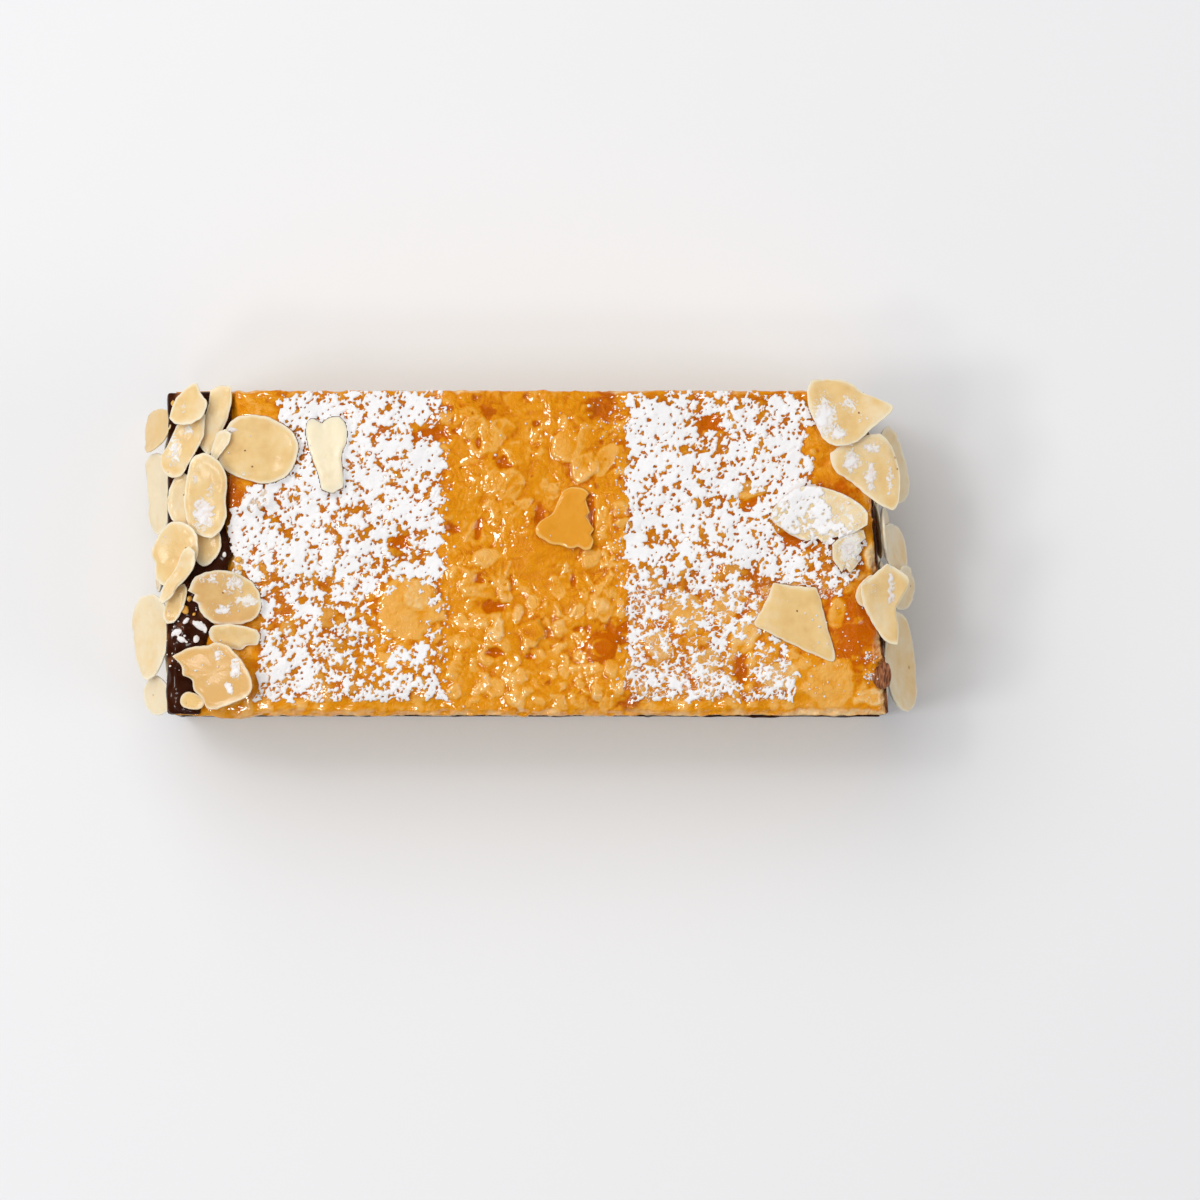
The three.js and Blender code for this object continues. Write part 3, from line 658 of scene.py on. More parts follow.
# Flakes that lie where they can be seen: middle, size, turn in degrees, lift, tone and what sets them apart.
bedded = [
    {"at": (3.0, -0.9), "size": (12.4, 11.0), "turn": 10, "lift": 0.30, "tone": 0.16, "line": 0.7,
     "wobble": 0.5, "grain": 0.05, "follow": 0.12, "dome": 0.12, "smooth": 0.75},
    {"at": (-8.1, 21.3), "size": (5.0, 4.4), "turn": 60, "lift": 0.18, "tone": 0.55, "line": 0.4,
     "grain": 0.10},
    {"at": (-1.0, 16.7), "size": (4.6, 4.0), "turn": 60, "lift": 0.16, "tone": 0.40, "line": 0.7,
     "smooth": 0.6},
    {"at": (-3.2, 11.4), "size": (7.4, 6.6), "turn": 30, "lift": 0.16, "tone": 0.55, "line": 0.4,
     "grain": 0.08},
    {"at": (7.3, 18.1), "size": (6.0, 5.2), "turn": 70, "lift": 0.38, "tone": 0.54, "line": 1.2,
     "lip": 0.03, "smooth": 0.7, "edge": 0.3, "dome": 0.10, "slope": (-0.05, 0.03)},
    {"at": (13.6, 15.6), "size": (7.2, 3.4), "turn": 55, "lift": 0.42, "tone": 0.54, "line": 1.2,
     "lip": 0.03, "smooth": 0.7, "edge": 0.3, "dome": 0.10, "slope": (0.03, -0.06)},
    {"at": (10.3, 14.6), "size": (6.4, 5.0), "turn": 96, "lift": 0.52, "tone": 0.60, "line": 1.2,
     "lip": 0.03, "smooth": 0.6, "edge": 0.3, "dome": 0.10, "cuts": [(100, 2.4), (20, 2.0), (200, 2.2)],
     "slope": (-0.07, 0.03), "grain": 0.12},
    {"at": (-6.2, -0.8), "size": (5.0, 3.4), "turn": 12, "lift": 0.46, "tone": 0.62, "line": 0.9,
     "lip": 0.05, "smooth": 0.6, "dome": 0.15, "slope": (-0.04, 0.0)},
    {"at": (13.0, -15.9), "size": (8.4, 5.6), "turn": 22, "lift": 0.60, "tone": -0.85, "dome": 0.8,
     "line": 0.0, "wobble": 0.25, "follow": 0.05, "edge": 0.9, "rings": (0.9, 1.6), "smooth": 0.9},
    {"at": (-19.8, -9.2), "size": (10.6, 9.6), "turn": 100, "lift": 0.26, "tone": 0.70, "line": 0.6,
     "grain": 0.04, "smooth": 0.5},
    {"at": (-17.6, -7.0), "size": (5.6, 4.4), "turn": 60, "lift": 0.18, "tone": 0.85, "line": 0.7},
    {"at": (52.0, -10.0), "size": (6.4, 3.0), "turn": 80, "lift": 0.34, "tone": 0.85, "line": 0.7},
    {"at": (43.2, -20.6), "size": (6.6, 5.0), "turn": 20, "lift": 0.28, "tone": 1.15, "line": 0.5},
    {"at": (37.4, -13.5), "size": (9.0, 4.4), "turn": 60, "lift": 0.3, "tone": 0.95, "line": 0.8,
     "grain": 0.06},
    {"at": (27.0, -9.6), "size": (8.0, 6.0), "turn": 150, "lift": 0.22, "tone": 0.9, "line": 0.7,
     "grain": 0.06},
    {"at": (37.4, 10.6), "size": (6.8, 3.8), "turn": 8, "lift": 0.55, "tone": 0.62, "line": 0.9,
     "wobble": 0.4},
    {"at": (31.2, 21.0), "size": (4.4, 1.5), "turn": 55, "lift": 0.4, "tone": 0.4, "line": 0.8},
    {"at": (57.6, -0.8), "size": (4.8, 2.2), "turn": 85, "lift": 0.4, "tone": 1.3, "line": 0.8,
     "dust": 0.5},
    {"at": (-0.9, -10.2), "size": (3.6, 2.1), "turn": 75, "lift": 0.36, "tone": 0.65, "line": 1.0,
     "lip": 0.1},
    {"at": (-4.3, -13.1), "size": (4.4, 2.5), "turn": 84, "lift": 0.32, "tone": 0.66, "line": 0.6,
     "grain": 0.08},
    {"at": (9.4, -9.7), "size": (3.0, 2.8), "turn": 30, "lift": 0.30, "tone": 0.6, "line": 0.7,
     "wobble": 0.4},
    {"at": (13.0, -8.8), "size": (3.0, 2.6), "turn": 140, "lift": 0.34, "tone": 0.66, "line": 1.0,
     "dome": 0.2},
    {"at": (-4.4, -22.4), "size": (3.8, 3.4), "turn": 10, "lift": 0.26, "tone": 0.45, "line": 0.6,
     "wobble": 0.4},
    {"at": (1.4, -13.4), "size": (5.6, 4.6), "turn": 100, "lift": 0.62, "tone": -0.25, "line": 1.0,
     "smooth": 0.9, "cuts": [(95, 2.1), (15, 1.9), (215, 2.0), (290, 2.1), (150, 1.6)],
     "slope": (0.05, -0.10), "lip": 0.12},
    {"at": (51.0, -21.8), "size": (9.0, 7.4), "turn": 60, "lift": 0.25, "tone": 0.66, "line": 0.3,
     "grain": 0.06, "wobble": 0.5},
    {"at": (56.6, -24.2), "size": (5.4, 3.4), "turn": 10, "lift": 0.3, "tone": 0.8, "line": 0.4,
     "grain": 0.1, "wobble": 0.5},
    {"at": (-44.6, 8.8), "size": (5.4, 3.6), "turn": 20, "lift": 0.7, "tone": 1.25, "line": 0.8,
     "dust": 0.8, "wobble": 0.9, "grain": 0.3},
    {"at": (-47.8, -1.6), "size": (3.8, 2.2), "turn": 80, "lift": 0.5, "tone": 1.2, "line": 0.6,
     "dust": 0.7, "wobble": 0.5, "grain": 0.2},
    {"at": (30.5, -18.5), "size": (6.4, 4.6), "turn": 50, "lift": 0.25, "tone": 1.0, "line": 0.7,
     "grain": 0.08},
    {"at": (22.6, -15.4), "size": (6.0, 4.4), "turn": 120, "lift": 0.25, "tone": 0.9, "line": 0.7,
     "grain": 0.08},
    {"at": (34.6, -8.6), "size": (6.6, 4.4), "turn": 30, "lift": 0.25, "tone": 0.95, "line": 0.7,
     "grain": 0.08},
]

# Fine creases where flakes have buckled: from, to, height, width.
creases = [
    ((-5.3, 22.4), (-3.6, 19.7), 0.20, 0.16), ((-6.8, 6.6), (-9.8, 1.4), 0.24, 0.26),
    ((-2.0, -1.0), (-2.8, -4.5), 0.22, 0.18), ((-2.8, -4.5), (-1.9, -7.8), 0.20, 0.18),
    ((-3.9, -2.0), (-3.4, -6.4), 0.16, 0.16), ((-4.9, 19.0), (-2.0, 16.6), 0.24, 0.24),
    ((-6.2, 14.7), (-4.8, 12.0), 0.18, 0.18), ((9.0, -20.4), (13.8, -21.6), 0.20, 0.22),
    ((9.6, -22.6), (13.9, -24.4), 0.20, 0.22), ((-12.8, 13.6), (-10.0, 10.8), 0.14, 0.16),
    ((13.6, 1.0), (15.2, -4.0), 0.16, 0.18), ((-12.0, -10.5), (-9.2, -12.8), 0.18, 0.2),
    ((5.0, -8.4), (8.4, -11.6), 0.16, 0.18), ((35.2, -24.2), (38.2, -16.2), 0.34, 0.36),
    ((20.8, 17.6), (24.6, 14.2), 0.2, 0.2), ((3.8, -24.8), (6.8, -22.6), 0.2, 0.22),
]

# Hollows filled with clear caramel: middle, half sizes, depth.
hollows = [
    (-5.4, -9.2, 1.9, 1.15, 0.55), (-3.4, 15.1, 1.05, 1.25, 0.7), (-4.8, -16.8, 1.15, 0.8, 0.8),
    (2.0, 21.6, 0.5, 0.6, 0.3), (-7.6, 18.4, 0.5, 1.2, 0.3), (-11.8, 4.0, 1.0, 0.8, 0.3),
    (2.6, 6.4, 0.8, 2.2, 0.45), (11.4, 6.5, 0.6, 3.2, 0.5), (10.3, 8.0, 0.7, 0.8, 0.45),
    (46.0, 2.6, 5.2, 1.1, 0.7), (17.0, -12.5, 1.6, 1.0, 0.3), (31.6, 21.8, 2.0, 1.6, 0.6),
    (8.3, -4.6, 0.4, 1.2, 0.5), (-7.6, -4.6, 1.0, 0.7, 0.4), (-7.6, 4.2, 0.6, 2.2, 0.35),
    (36.6, -19.6, 0.9, 3.6, 0.6), (9.6, -12.8, 1.3, 0.6, 0.3), (-20.9, 1.4, 2.2, 1.4, 0.4),
    (0.9, -17.3, 0.8, 0.5, 0.3), (-16.0, 19.8, 2.8, 1.1, 0.4),
]

# Browned spots: middle, radius, strength.
brownedSpots = [
    (-8.0, 26.0, 0.5, 0.7), (-5.8, 23.3, 0.8, 0.4), (0.2, 26.3, 0.5, 0.5), (12.2, 24.2, 1.3, 0.6),
    (14.6, 26.2, 1.2, 0.45), (2.4, 21.6, 0.4, 0.45), (-12.4, 4.2, 0.8, 0.35), (18.6, -25.2, 1.2, 0.7),
    (17.0, -25.6, 0.9, 0.6), (4.2, -21.9, 0.4, 0.4), (11.6, -6.6, 0.4, 0.35), (3.2, -11.1, 0.35, 0.5),
    (10.9, 9.4, 0.4, 0.5), (11.3, 6.3, 0.4, 0.5), (11.2, 3.4, 0.4, 0.5), (36.5, -20.0, 1.6, 0.35),
    (-7.3, -3.7, 0.5, 0.35), (16.4, -14.4, 0.8, 0.45), (12.2, 11.0, 0.4, 0.35), (-22.0, -15.5, 0.8, 0.3),
    (-12.6, 24.4, 0.6, 0.35), (-11.6, 20.4, 0.5, 0.3), (14.8, 20.0, 0.5, 0.4), (12.9, 18.6, 0.4, 0.35),
]

# Where the caramel is a deep clear orange: middle, half sizes, strength.
deepPatches = [
    (13.2, 24.4, 3.4, 2.2, 0.5), (-12.8, 8.0, 1.6, 9.0, 0.2), (2.8, 4.6, 2.8, 2.6, 0.25),
    (46.0, 2.2, 6.0, 2.0, 0.8), (54.5, -13.0, 4.6, 6.4, 0.9), (-50.0, 9.5, 2.6, 3.6, 0.7),
    (52.0, 9.5, 3.4, 3.0, 0.6), (31.8, 21.6, 2.6, 2.2, 0.7), (38.0, 7.6, 3.0, 1.6, 0.5),
    (-11.0, 21.0, 3.4, 3.0, 0.15), (15.6, -13.2, 2.2, 1.4, 0.35), (16.0, 4.0, 1.4, 8.0, 0.15),
    (-6.0, 24.6, 1.4, 2.0, 0.3), (0.9, 17.0, 1.6, 1.8, 0.2), (16.4, 20.0, 1.2, 3.0, 0.3),
]


def crustColumns():
    xs = [crustPlan["columnSteps"][0][0]]
    for low, high, step in crustPlan["columnSteps"]:
        count = round((high - low) / step)
        xs += [low + (high - low) * (k + 1) / count for k in range(count)]
    return np.array(xs)


def flakeFromAbove(spec, x, y):
    # for each point: how far along and across the flake, how far out as a share, and how far inside its rim
    cx, cy = spec["at"]
    a, b = spec["size"][0] / 2, spec["size"][1] / 2
    turn = math.radians(spec["turn"])
    u = (x - cx) * math.cos(turn) + (y - cy) * math.sin(turn)
    v = (y - cy) * math.cos(turn) - (x - cx) * math.sin(turn)
    out = np.sqrt((u / a) ** 2 + (v / (b * (1 - spec["taper"] * u / a))) ** 2)
    inner = (1 - out) * b
    for direction, distance in spec["cuts"]:
        d = math.radians(direction)
        inner = np.minimum(inner, distance - u * math.cos(d) - v * math.sin(d))
    wobble, seed = spec["wobble"], spec["seed"]
    place = flat(x, y)
    inner = inner + wobble * softNoise(place, 1.5, seed) + 0.6 * wobble * softNoise(place, 0.6, seed + 1)
    return u, v, out, inner


def bedFlake(state, ownLine):
    # lays one flake into the caramel, over whatever is there
    spec = {**usualFlake, **ownLine}
    xs, ys = state["xs"], state["ys"]
    cx, cy = spec["at"]
    reach = max(spec["size"]) / 2 + 0.9
    i0, i1 = np.searchsorted(xs, [cx - reach, cx + reach])
    j0, j1 = np.searchsorted(ys, [cy - reach, cy + reach])
    if i1 - i0 < 3 or j1 - j0 < 3:
        return
    x, y = np.meshgrid(xs[i0:i1], ys[j0:j1])
    u, v, out, inner = flakeFromAbove(spec, x, y)
    window = (slice(j0, j1), slice(i0, i1))
    under = state["height"][window]
    inside = inner > 0
    if inside.sum() < 4:
        return
    level = under[inside].mean() + spec["lift"]
    slopeU, slopeV = spec["slope"]
    face = level + (under - level) * spec["follow"] + slopeU * u + slopeV * v - spec["dome"] * out ** 2
    face = face - spec["dish"] * smoothStep(0.3, 0.9, inner)
    if spec["grain"]:
        furrows = softNoise(flat(u * 0.5, v * 1.6), 0.9, spec["seed"] + 2)
        face = face + spec["grain"] * furrows * smoothStep(0, 0.5, inner)
    # ridges on the left side are painted lighter: a painted highlight where the lamps catch them
    streaks = 0 * inner
    halfLength = spec["size"][0] / 2
    for distance in spec["rings"]:
        onLeft = smoothStep(0.5 * halfLength, -0.3 * halfLength, x - cx)
        ridge = np.exp(-((inner - distance) / 0.3) ** 2) * onLeft
        face = face + 0.15 * ridge
        streaks = streaks + 0.45 * ridge
    face = face + spec["lip"] * np.exp(-((inner - 0.5) / 0.28) ** 2)
    rise = smoothStep(0.0, spec["edge"], inner)
    above = inside & (face > under)
    state["height"][window] = np.where(above, under + (face - under) * rise, under)
    share = rise * above
    tone = state["tone"][window] * (1 - share) + (spec["tone"] + streaks) * share
    rimLine = np.exp(-((inner - 0.16) / 0.14) ** 2)
    state["tone"][window] = tone + spec["line"] * 0.35 * rimLine * above
    state["calm"][window] = state["calm"][window] * (1 - share) + spec["smooth"] * share
    state["dust"][window] = np.maximum(state["dust"][window], spec["dust"] * share)


def beddedAtRandom(state, dice):
    for k in range(crustPlan["bigFlakes"]):
        length = dice.uniform(3.5, 8.5)
        width = length * dice.uniform(0.55, 0.85)
        cuts = [(dice.uniform(0, 360), width * dice.uniform(0.2, 0.45)) for _ in range(dice.integers(0, 4))]
        bedFlake(state, {
            "at": (dice.uniform(-50, 58), dice.uniform(-26, 26.5)), "size": (length, width),
            "turn": dice.uniform(0, 360), "lift": dice.uniform(0.03, 0.22), "cuts": cuts, "seed": 10 * k,
            "slope": (dice.normal(0, 0.05), dice.normal(0, 0.055)), "tone": dice.uniform(0.26, 0.62),
            "line": dice.random() ** 2, "grain": 0.10 * dice.random() ** 2, "wobble": dice.uniform(0.35, 0.8),
            "follow": dice.uniform(0.35, 0.75), "lip": dice.uniform(0.0, 0.06), "smooth": 0.8 * dice.random(),
            "dome": dice.uniform(0, 0.2),
        })


def chipsAtRandom(state, dice):
    # chopped almond: thick in the front half of the bar, sparse behind, and little of it in the right front
    for k in range(crustPlan["chips"]):
        x = dice.uniform(-50, 58)
        y = dice.uniform(-26.5, 26.5)
        likely = np.interp(y, [-27, -4, 2, 27], [1.0, 0.95, 0.3, 0.22]) * (0.35 if x > 46 and y < -6 else 1)
        if dice.random() > likely:
            continue
        length = dice.uniform(1.7, 4.2)
        cuts = [(dice.uniform(0, 360), length * dice.uniform(0.15, 0.4)) for _ in range(dice.integers(0, 4))]
        front = y < 0
        bedFlake(state, {
            "at": (x, y), "size": (length, length * dice.uniform(0.5, 0.9)), "turn": dice.uniform(0, 360),
            "lift": dice.uniform(0.06, 0.32 if front else 0.18), "cuts": cuts, "seed": 3000 + 10 * k,
            "slope": (dice.normal(0, 0.10), dice.normal(0, 0.10)), "tone": dice.uniform(0.34, 0.62),
            "line": 0.9 * dice.random(), "edge": dice.uniform(0.25, 0.5), "wobble": 0.35,
            "lip": dice.uniform(0.0, 0.05), "dish": 0.10 * dice.random() ** 2, "dome": dice.uniform(0.0, 0.2),
        })


def crumpled(place, cell, seed):  # slow ramps that end in small steps, like thin sheets lying over each other
    bendX = softNoise(place, 0.6 * cell, seed + 1)
    bendY = softNoise(place, 0.6 * cell, seed + 2)
    bent = place + 0.35 * cell * flat(bendX, bendY)
    level = 2.4 * softNoise(bent, cell, seed) + 0.5 * softNoise(bent, 0.4 * cell, seed + 3)
    part = level - np.floor(level)
    return part * smoothStep(1.0, 0.8, part)


def pressCrease(state, start, end, height, width, seed, gx, gy):
    start, end = np.array(start), np.array(end)
    along = end - start
    length = np.hypot(*along)
    place = flat(gx, gy)
    share = ((gx - start[0]) * along[0] + (gy - start[1]) * along[1]) / length ** 2
    off = ((gy - start[1]) * along[0] - (gx - start[0]) * along[1]) / length
    off = off + 0.10 * length * np.sin(np.pi * share) + 0.25 * softNoise(place, 1.3, seed)
    ends = smoothStep(-0.05, 0.15, share) * smoothStep(1.05, 0.85, share)
    ridge = np.exp(-(off / width) ** 2) * ends * (0.7 + 0.5 * softNoise(place, 0.8, seed + 1))
    state["height"] += height * ridge
    state["tone"] += 0.25 * ridge


def nearby(gx, gy, x, y, radius):  # the part of the grid round a spot, and the distances from it
    window = np.abs(gx - x) < 3 * radius
    window &= np.abs(gy - y) < 3 * radius
    return window, np.hypot(gx[window] - x, gy[window] - y) / radius


# The two bands of icing sugar. edge: where the ragged side of the band runs, x by y. amount: how much of the
# praline is hidden, by y. thinPlaces: middle, half sizes and how much less lies there.
sugarBands = {
    "left": {
        "edge": ([-27, -24, -17, -9, -4, 1, 7, 10, 14, 19, 21, 27],
                 [-46.5, -46, -44.5, -45, -49.3, -49.5, -49, -46.5, -43.2, -42, -41, -40]),
        "amount": ([-27, -25.2, -24.2, -18, -6, -2, 4, 25, 26.6, 27],
                   [0, 0, 0.66, 0.62, 0.66, 0.72, 0.79, 0.80, 0.5, 0.25]),
        "thinPlaces": [(-22.0, -17.0, 5.0, 4.0, 0.3), (-17.5, 20.2, 3.4, 1.4, 0.5),
                       (-21, 1.8, 2.0, 1.5, 0.6)],
        "stops": -13.5,
    },
    "right": {
        "edge": ([-27, -20, -13, -9, -7.5, -3, 2, 8, 12, 17, 27],
                 [45.5, 45.5, 43.5, 43, 52, 56.8, 57.4, 51, 49.5, 47.5, 48]),
        "amount": ([-27, -25.6, -24.4, -18, -8, -3, 4, 25, 26.6, 27],
                   [0, 0, 0.62, 0.60, 0.62, 0.72, 0.80, 0.78, 0.5, 0.2]),
        "thinPlaces": [(28, -12, 6, 5, 0.2), (39, -14, 5, 4, 0.3), (46, 2.4, 5, 1.2, 0.9),
                       (31.8, 21.4, 1.9, 1.6, 0.9), (38.0, 8.8, 2.8, 1.2, 0.9), (36.8, -20, 1.6, 3.4, 0.6)],
        "starts": 17.1,
    },
}


def thinned(amount, gap, band, x, y):
    for atX, atY, halfX, halfY, less in sugarBands[band]["thinPlaces"]:
        gap = gap + less * np.exp(-((x - atX) / halfX) ** 2 - ((y - atY) / halfY) ** 2)
    return np.clip(amount - gap, 0, 1)


def sugarCover(x, y):
    # how much of the praline the icing sugar hides, from 0 to 1
    p = flat(x, y)
    ragged = 1.1 * softNoise(p, 2.2, 71) + 0.7 * softNoise(p, 0.9, 72)
    band = sugarBands["left"]
    past = x - np.interp(y, *band["edge"]) + ragged
    left = smoothStep(-0.8, 0.9, past) * smoothStep(-0.5, 0.9, band["stops"] - x + 0.7 * ragged)
    amount = np.interp(y, *band["amount"]) + 0.14 * np.exp(-((x + 37) / 6) ** 2 - ((y + 20) / 4.5) ** 2)
    bare = 0.75 * np.exp(-(((x + 20.0) / 5.6) ** 2 + ((y + 10.0) / 5.2) ** 2) ** 2)  # a big flake lies bare
    left = left * thinned(amount, bare, "left", x, y)
    band = sugarBands["right"]
    before = np.interp(y, *band["edge"]) - x + ragged
    right = smoothStep(-0.5, 0.9, x - band["starts"] + 0.7 * ragged) * smoothStep(-0.8, 0.9, before)
    right = right * thinned(np.interp(y, *band["amount"]), 0, "right", x, y)
    return left + right


def crustRelief(xs, ys, gx, gy):
    # the height of the crust over its solid, and the marks its finish follows
    dice = np.random.default_rng(crustPlan["seed"])
    place = flat(gx, gy)
    state = {
        "xs": xs, "ys": ys, "height": 0.14 * layeredNoise(place, 4.5, 3, 3), "tone": np.full_like(gx, 0.38),
        "calm": np.zeros_like(gx), "dust": np.zeros_like(gx),
    }
    beddedAtRandom(state, dice)
    chipsAtRandom(state, dice)
    for spec in bedded:
        bedFlake(state, spec)
    for k, (start, end, height, width) in enumerate(creases):
        pressCrease(state, start, end, height, width, 600 + 7 * k, gx, gy)
    relief, tone = state["height"], state["tone"]
    lively = 1 - state["calm"]
    patchy = smoothStep(-0.5, 0.5, softNoise(place, 3.4, 29))
    relief = relief + 0.13 * crumpled(place, 4.2, 24) * lively
    relief = relief + (0.07 + 0.08 * patchy) * crumpled(place, 2.2, 27) * lively
    relief = relief - blur(relief, 22) * 0.85
    brownedAndShade = np.zeros_like(gx)
    for hx, hy, rx, ry, depth in hollows:
        q = ((gx - hx) / rx) ** 2 + ((gy - hy) / ry) ** 2
        q = np.maximum(q * (1 + 0.5 * softNoise(place, 1.2, 9)) + 0.35 * softNoise(place, 0.8, 8), 0)
        relief = relief - depth * np.exp(-1.3 * q ** 1.2)
        tone = tone - 0.55 * np.exp(-1.5 * q)
    spots = brownedSpots + [(dice.uniform(-48, 58), dice.uniform(-25, 26), dice.uniform(0.12, 0.26), 0.4)
                            for _ in range(crustPlan["pits"])]
    for bx, by, radius, strength in spots:
        window, away = nearby(gx, gy, bx, by, radius)
        fade = np.exp(-away ** 2 * (1 + 0.9 * softNoise(place[window], 0.6, 10)))
        brownedAndShade[window] = np.maximum(brownedAndShade[window], strength * fade)
        relief[window] -= 0.14 * fade
        tone[window] -= 0.3 * fade
    for px, py, rx, ry, strength in deepPatches:
        q = ((gx - px) / rx) ** 2 + ((gy - py) / ry) ** 2 + 0.4 * softNoise(place, 1.8, 12)
        tone = tone - strength * np.exp(-np.maximum(q, 0) ** 1.5)
    # the caramel glaze rounds everything off and gathers, darker, in the low places; the creases are darkened
    # further as painted shade, and the raised parts are painted lighter
    relief = 0.6 * relief + 0.4 * blur(relief, 1)
    near = relief - blur(relief, 2)
    wide = relief - blur(relief, 6)
    broad = relief - blur(relief, 14)
    tone = tone + 3.0 * np.clip(near, -0.14, 0.06) + 1.2 * np.clip(wide, -0.30, 0.15) + 0.02
    tone = tone + 0.8 * np.clip(broad, -0.3, 0.3)
    # under the sugar bands the praline is darker and browner: partly its own browner colour there, partly
    # painted shade in the small gaps between the sugar
    cover = np.clip(sugarCover(gx, gy), 0, 1)
    tone = tone - 0.4 * cover - 0.004 * gy
    brownedAndShade = np.maximum(brownedAndShade, 0.42 * smoothStep(0.3, 0.8, cover))
    clear = smoothStep(46, 49, gx) * smoothStep(-5, -8, gy)
    relief = relief * (1 - 0.35 * clear)
    dust = np.maximum(state["dust"], (0.30 + 0.5 * smoothStep(-2, -8, gy) * smoothStep(0, 10, gx)) * cover)
    return relief, {"tone": tone, "brownedAndShade": brownedAndShade, "dust": dust}


def crustTop(xs, ys):
    # the upper face as a grid of points, and its marks
    gx, gy = np.meshgrid(xs, ys)
    place = flat(gx, gy)
    stretch = np.clip((gx - 46) / (xs[-1] - 46), 0, 1)
    end = rightEnd(gy) + crustPlan["overhang"]
    x = gx + stretch * (end + 0.3 * layeredNoise(flat(gx * 0, gy), 2.4, 3, 37) - xs[-1])
    tree = treeOf([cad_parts["praline_crust"].data])
    inX = np.clip(x, crustLow[0] + 0.02, rightEnd(gy) - 0.25)
    inY = np.clip(gy, -halfWidth + 1.3, halfWidth - 1.3)
    base = heightsOver(tree, inX, inY, cakeHigh)
    relief, marks = crustRelief(xs, ys, gx, gy)
    clear = smoothStep(0.0, 0.8, x - shoulderAt(gy))  # 0 under the chocolate, 1 in the open
    toEdge = np.minimum(halfWidth - np.abs(gy), np.maximum(end - x, 0))
    relief = np.clip(relief, -crustPlan["lowest"], crustPlan["highest"])
    z = base + relief * smoothStep(0, 0.7, toEdge + 0.35) * clear
    # the rim is ragged where it was cut, and along the front it has crumbled
    front = smoothStep(2, -2, gy)
    side = np.sign(gy) * smoothStep(halfWidth - 1.2, halfWidth, np.abs(gy))
    wander = 0.22 * layeredNoise(place, 2.6, 3, 31) + 0.16 * layeredNoise(place, 0.9, 2, 33)
    wander = wander + 0.5 * front * smoothStep(-53, -50, gx) * smoothStep(-44, -48, gx)
    y = gy + side * wander
    frayed = 0.5 * layeredNoise(place, 2.2, 2, 35) + 0.3 * layeredNoise(place, 0.7, 2, 36)
    fromRim = toEdge + frayed * smoothStep(0, 0.5, toEdge)
    fall = (0.35 + 0.75 * front) * smoothStep(0.5 + 0.75 * front, 0.0, fromRim)
    z = z - fall * (0.75 + 0.35 * softNoise(place, 1.4, 34) + 0.25 * softNoise(place, 0.5, 38)) * clear
    patchy = np.clip(0.28 + 0.35 * smoothStep(30, 50, gx) + 1.5 * layeredNoise(place, 2.6, 3, 39), 0, 1)
    marks["crumb"] = smoothStep(0.35 + 0.75 * front, 0.1 + 0.3 * front, fromRim) * patchy * clear
    return np.stack([x, y, z], axis=-1), marks


def crustWall(top, onLong):
    # rings of points from the rim down to the cake, uneven along the two long cuts, and their marks
    tangent = np.roll(top, -1, axis=0) - np.roll(top, 1, axis=0)
    outward = np.stack([tangent[:, 1], -tangent[:, 0]], axis=-1)
    outward /= np.maximum(np.linalg.norm(outward, axis=1, keepdims=True), 1e-6)
    rings = []
    marks = {"tone": [], "brownedAndShade": [], "dust": [], "crumb": []}
    for k in range(1, crustPlan["sideRows"] + 1):
        share = k / crustPlan["sideRows"]
        ring = top.copy()
        ring[:, 2] = top[:, 2] + (crustLow[2] - top[:, 2]) * share
        laid = layeredNoise(ring * (1, 1, 3.2), 4.2, 3, 51)
        crumb = layeredNoise(ring, 0.9, 2, 52)
        push = 0.36 * laid + 0.22 * crumb - 0.2 * share
        ring[:, :2] += outward * push[:, None] * onLong * smoothStep(0, 0.15, share) * 0.9
        rings.append(ring)
        marks["tone"].append(0.5 + 0.6 * laid + 0.3 * crumb - 0.2 * share)
        marks["brownedAndShade"].append(np.clip(-0.1 - 0.6 * laid, 0, 0.3))
        marks["dust"].append(np.zeros(len(top)))
        marks["crumb"].append(smoothStep(-0.35, 0.25, laid + 0.3 * crumb))
    return rings, marks


def makeCrust():
    sideRows = crustPlan["sideRows"]
    xs = crustColumns()
    ys = np.linspace(-halfWidth, halfWidth, round(2 * halfWidth / crustPlan["rowStep"]) + 1)
    top, topMarks = crustTop(xs, ys)
    down, across = top.shape[:2]
    top = top.reshape(-1, 3)
    faces = gridFaces(down, across)
    at = np.arange(down * across).reshape(down, across)
    rim = np.concatenate([at[0, :-1], at[:-1, -1], at[-1, :0:-1], at[:0:-1, 0]])
    count = len(rim)
    onLong = (np.abs(np.abs(np.repeat(ys, across)[rim]) - halfWidth) < 0.01)[:, None]
    rings, wallMarks = crustWall(top[rim], onLong)
    start = down * across
    belowRim = start + np.arange(count)
    faces += bandFaces(rim, belowRim)
    faces += ringFaces(sideRows, count, first=start)
    faces += fanFaces(belowRim + (sideRows - 1) * count, start + sideRows * count)
    under = [[rings[-1][:, 0].mean(), 0, crustLow[2]]]
    points = np.concatenate([top, *rings, under])
    marks = {mark: np.concatenate([topMarks[mark].ravel(), *wallMarks[mark], [0]]) for mark in wallMarks}
    makePiece("pralineCrust", points, faces, ["praline_crust"], praline, marks)
    print("praline crust:", sum(len(f) - 2 for f in faces), "triangles")


makeCrust()


# The two cakes and the chocolate layer between them.

layerPlan = {
    "cake_base": {"piece": "cakeBase", "step": 0.42, "rows": 40, "pore": 0.75, "porePitch": 2.3},
    "cake_top": {"piece": "cakeTop", "step": 0.42, "rows": 22, "pore": 0.75, "porePitch": 2.3},
    "chocolate_layer": {"piece": "chocolateLayer", "step": 0.45, "rows": 9, "pore": 0.0, "porePitch": 2.0},
}


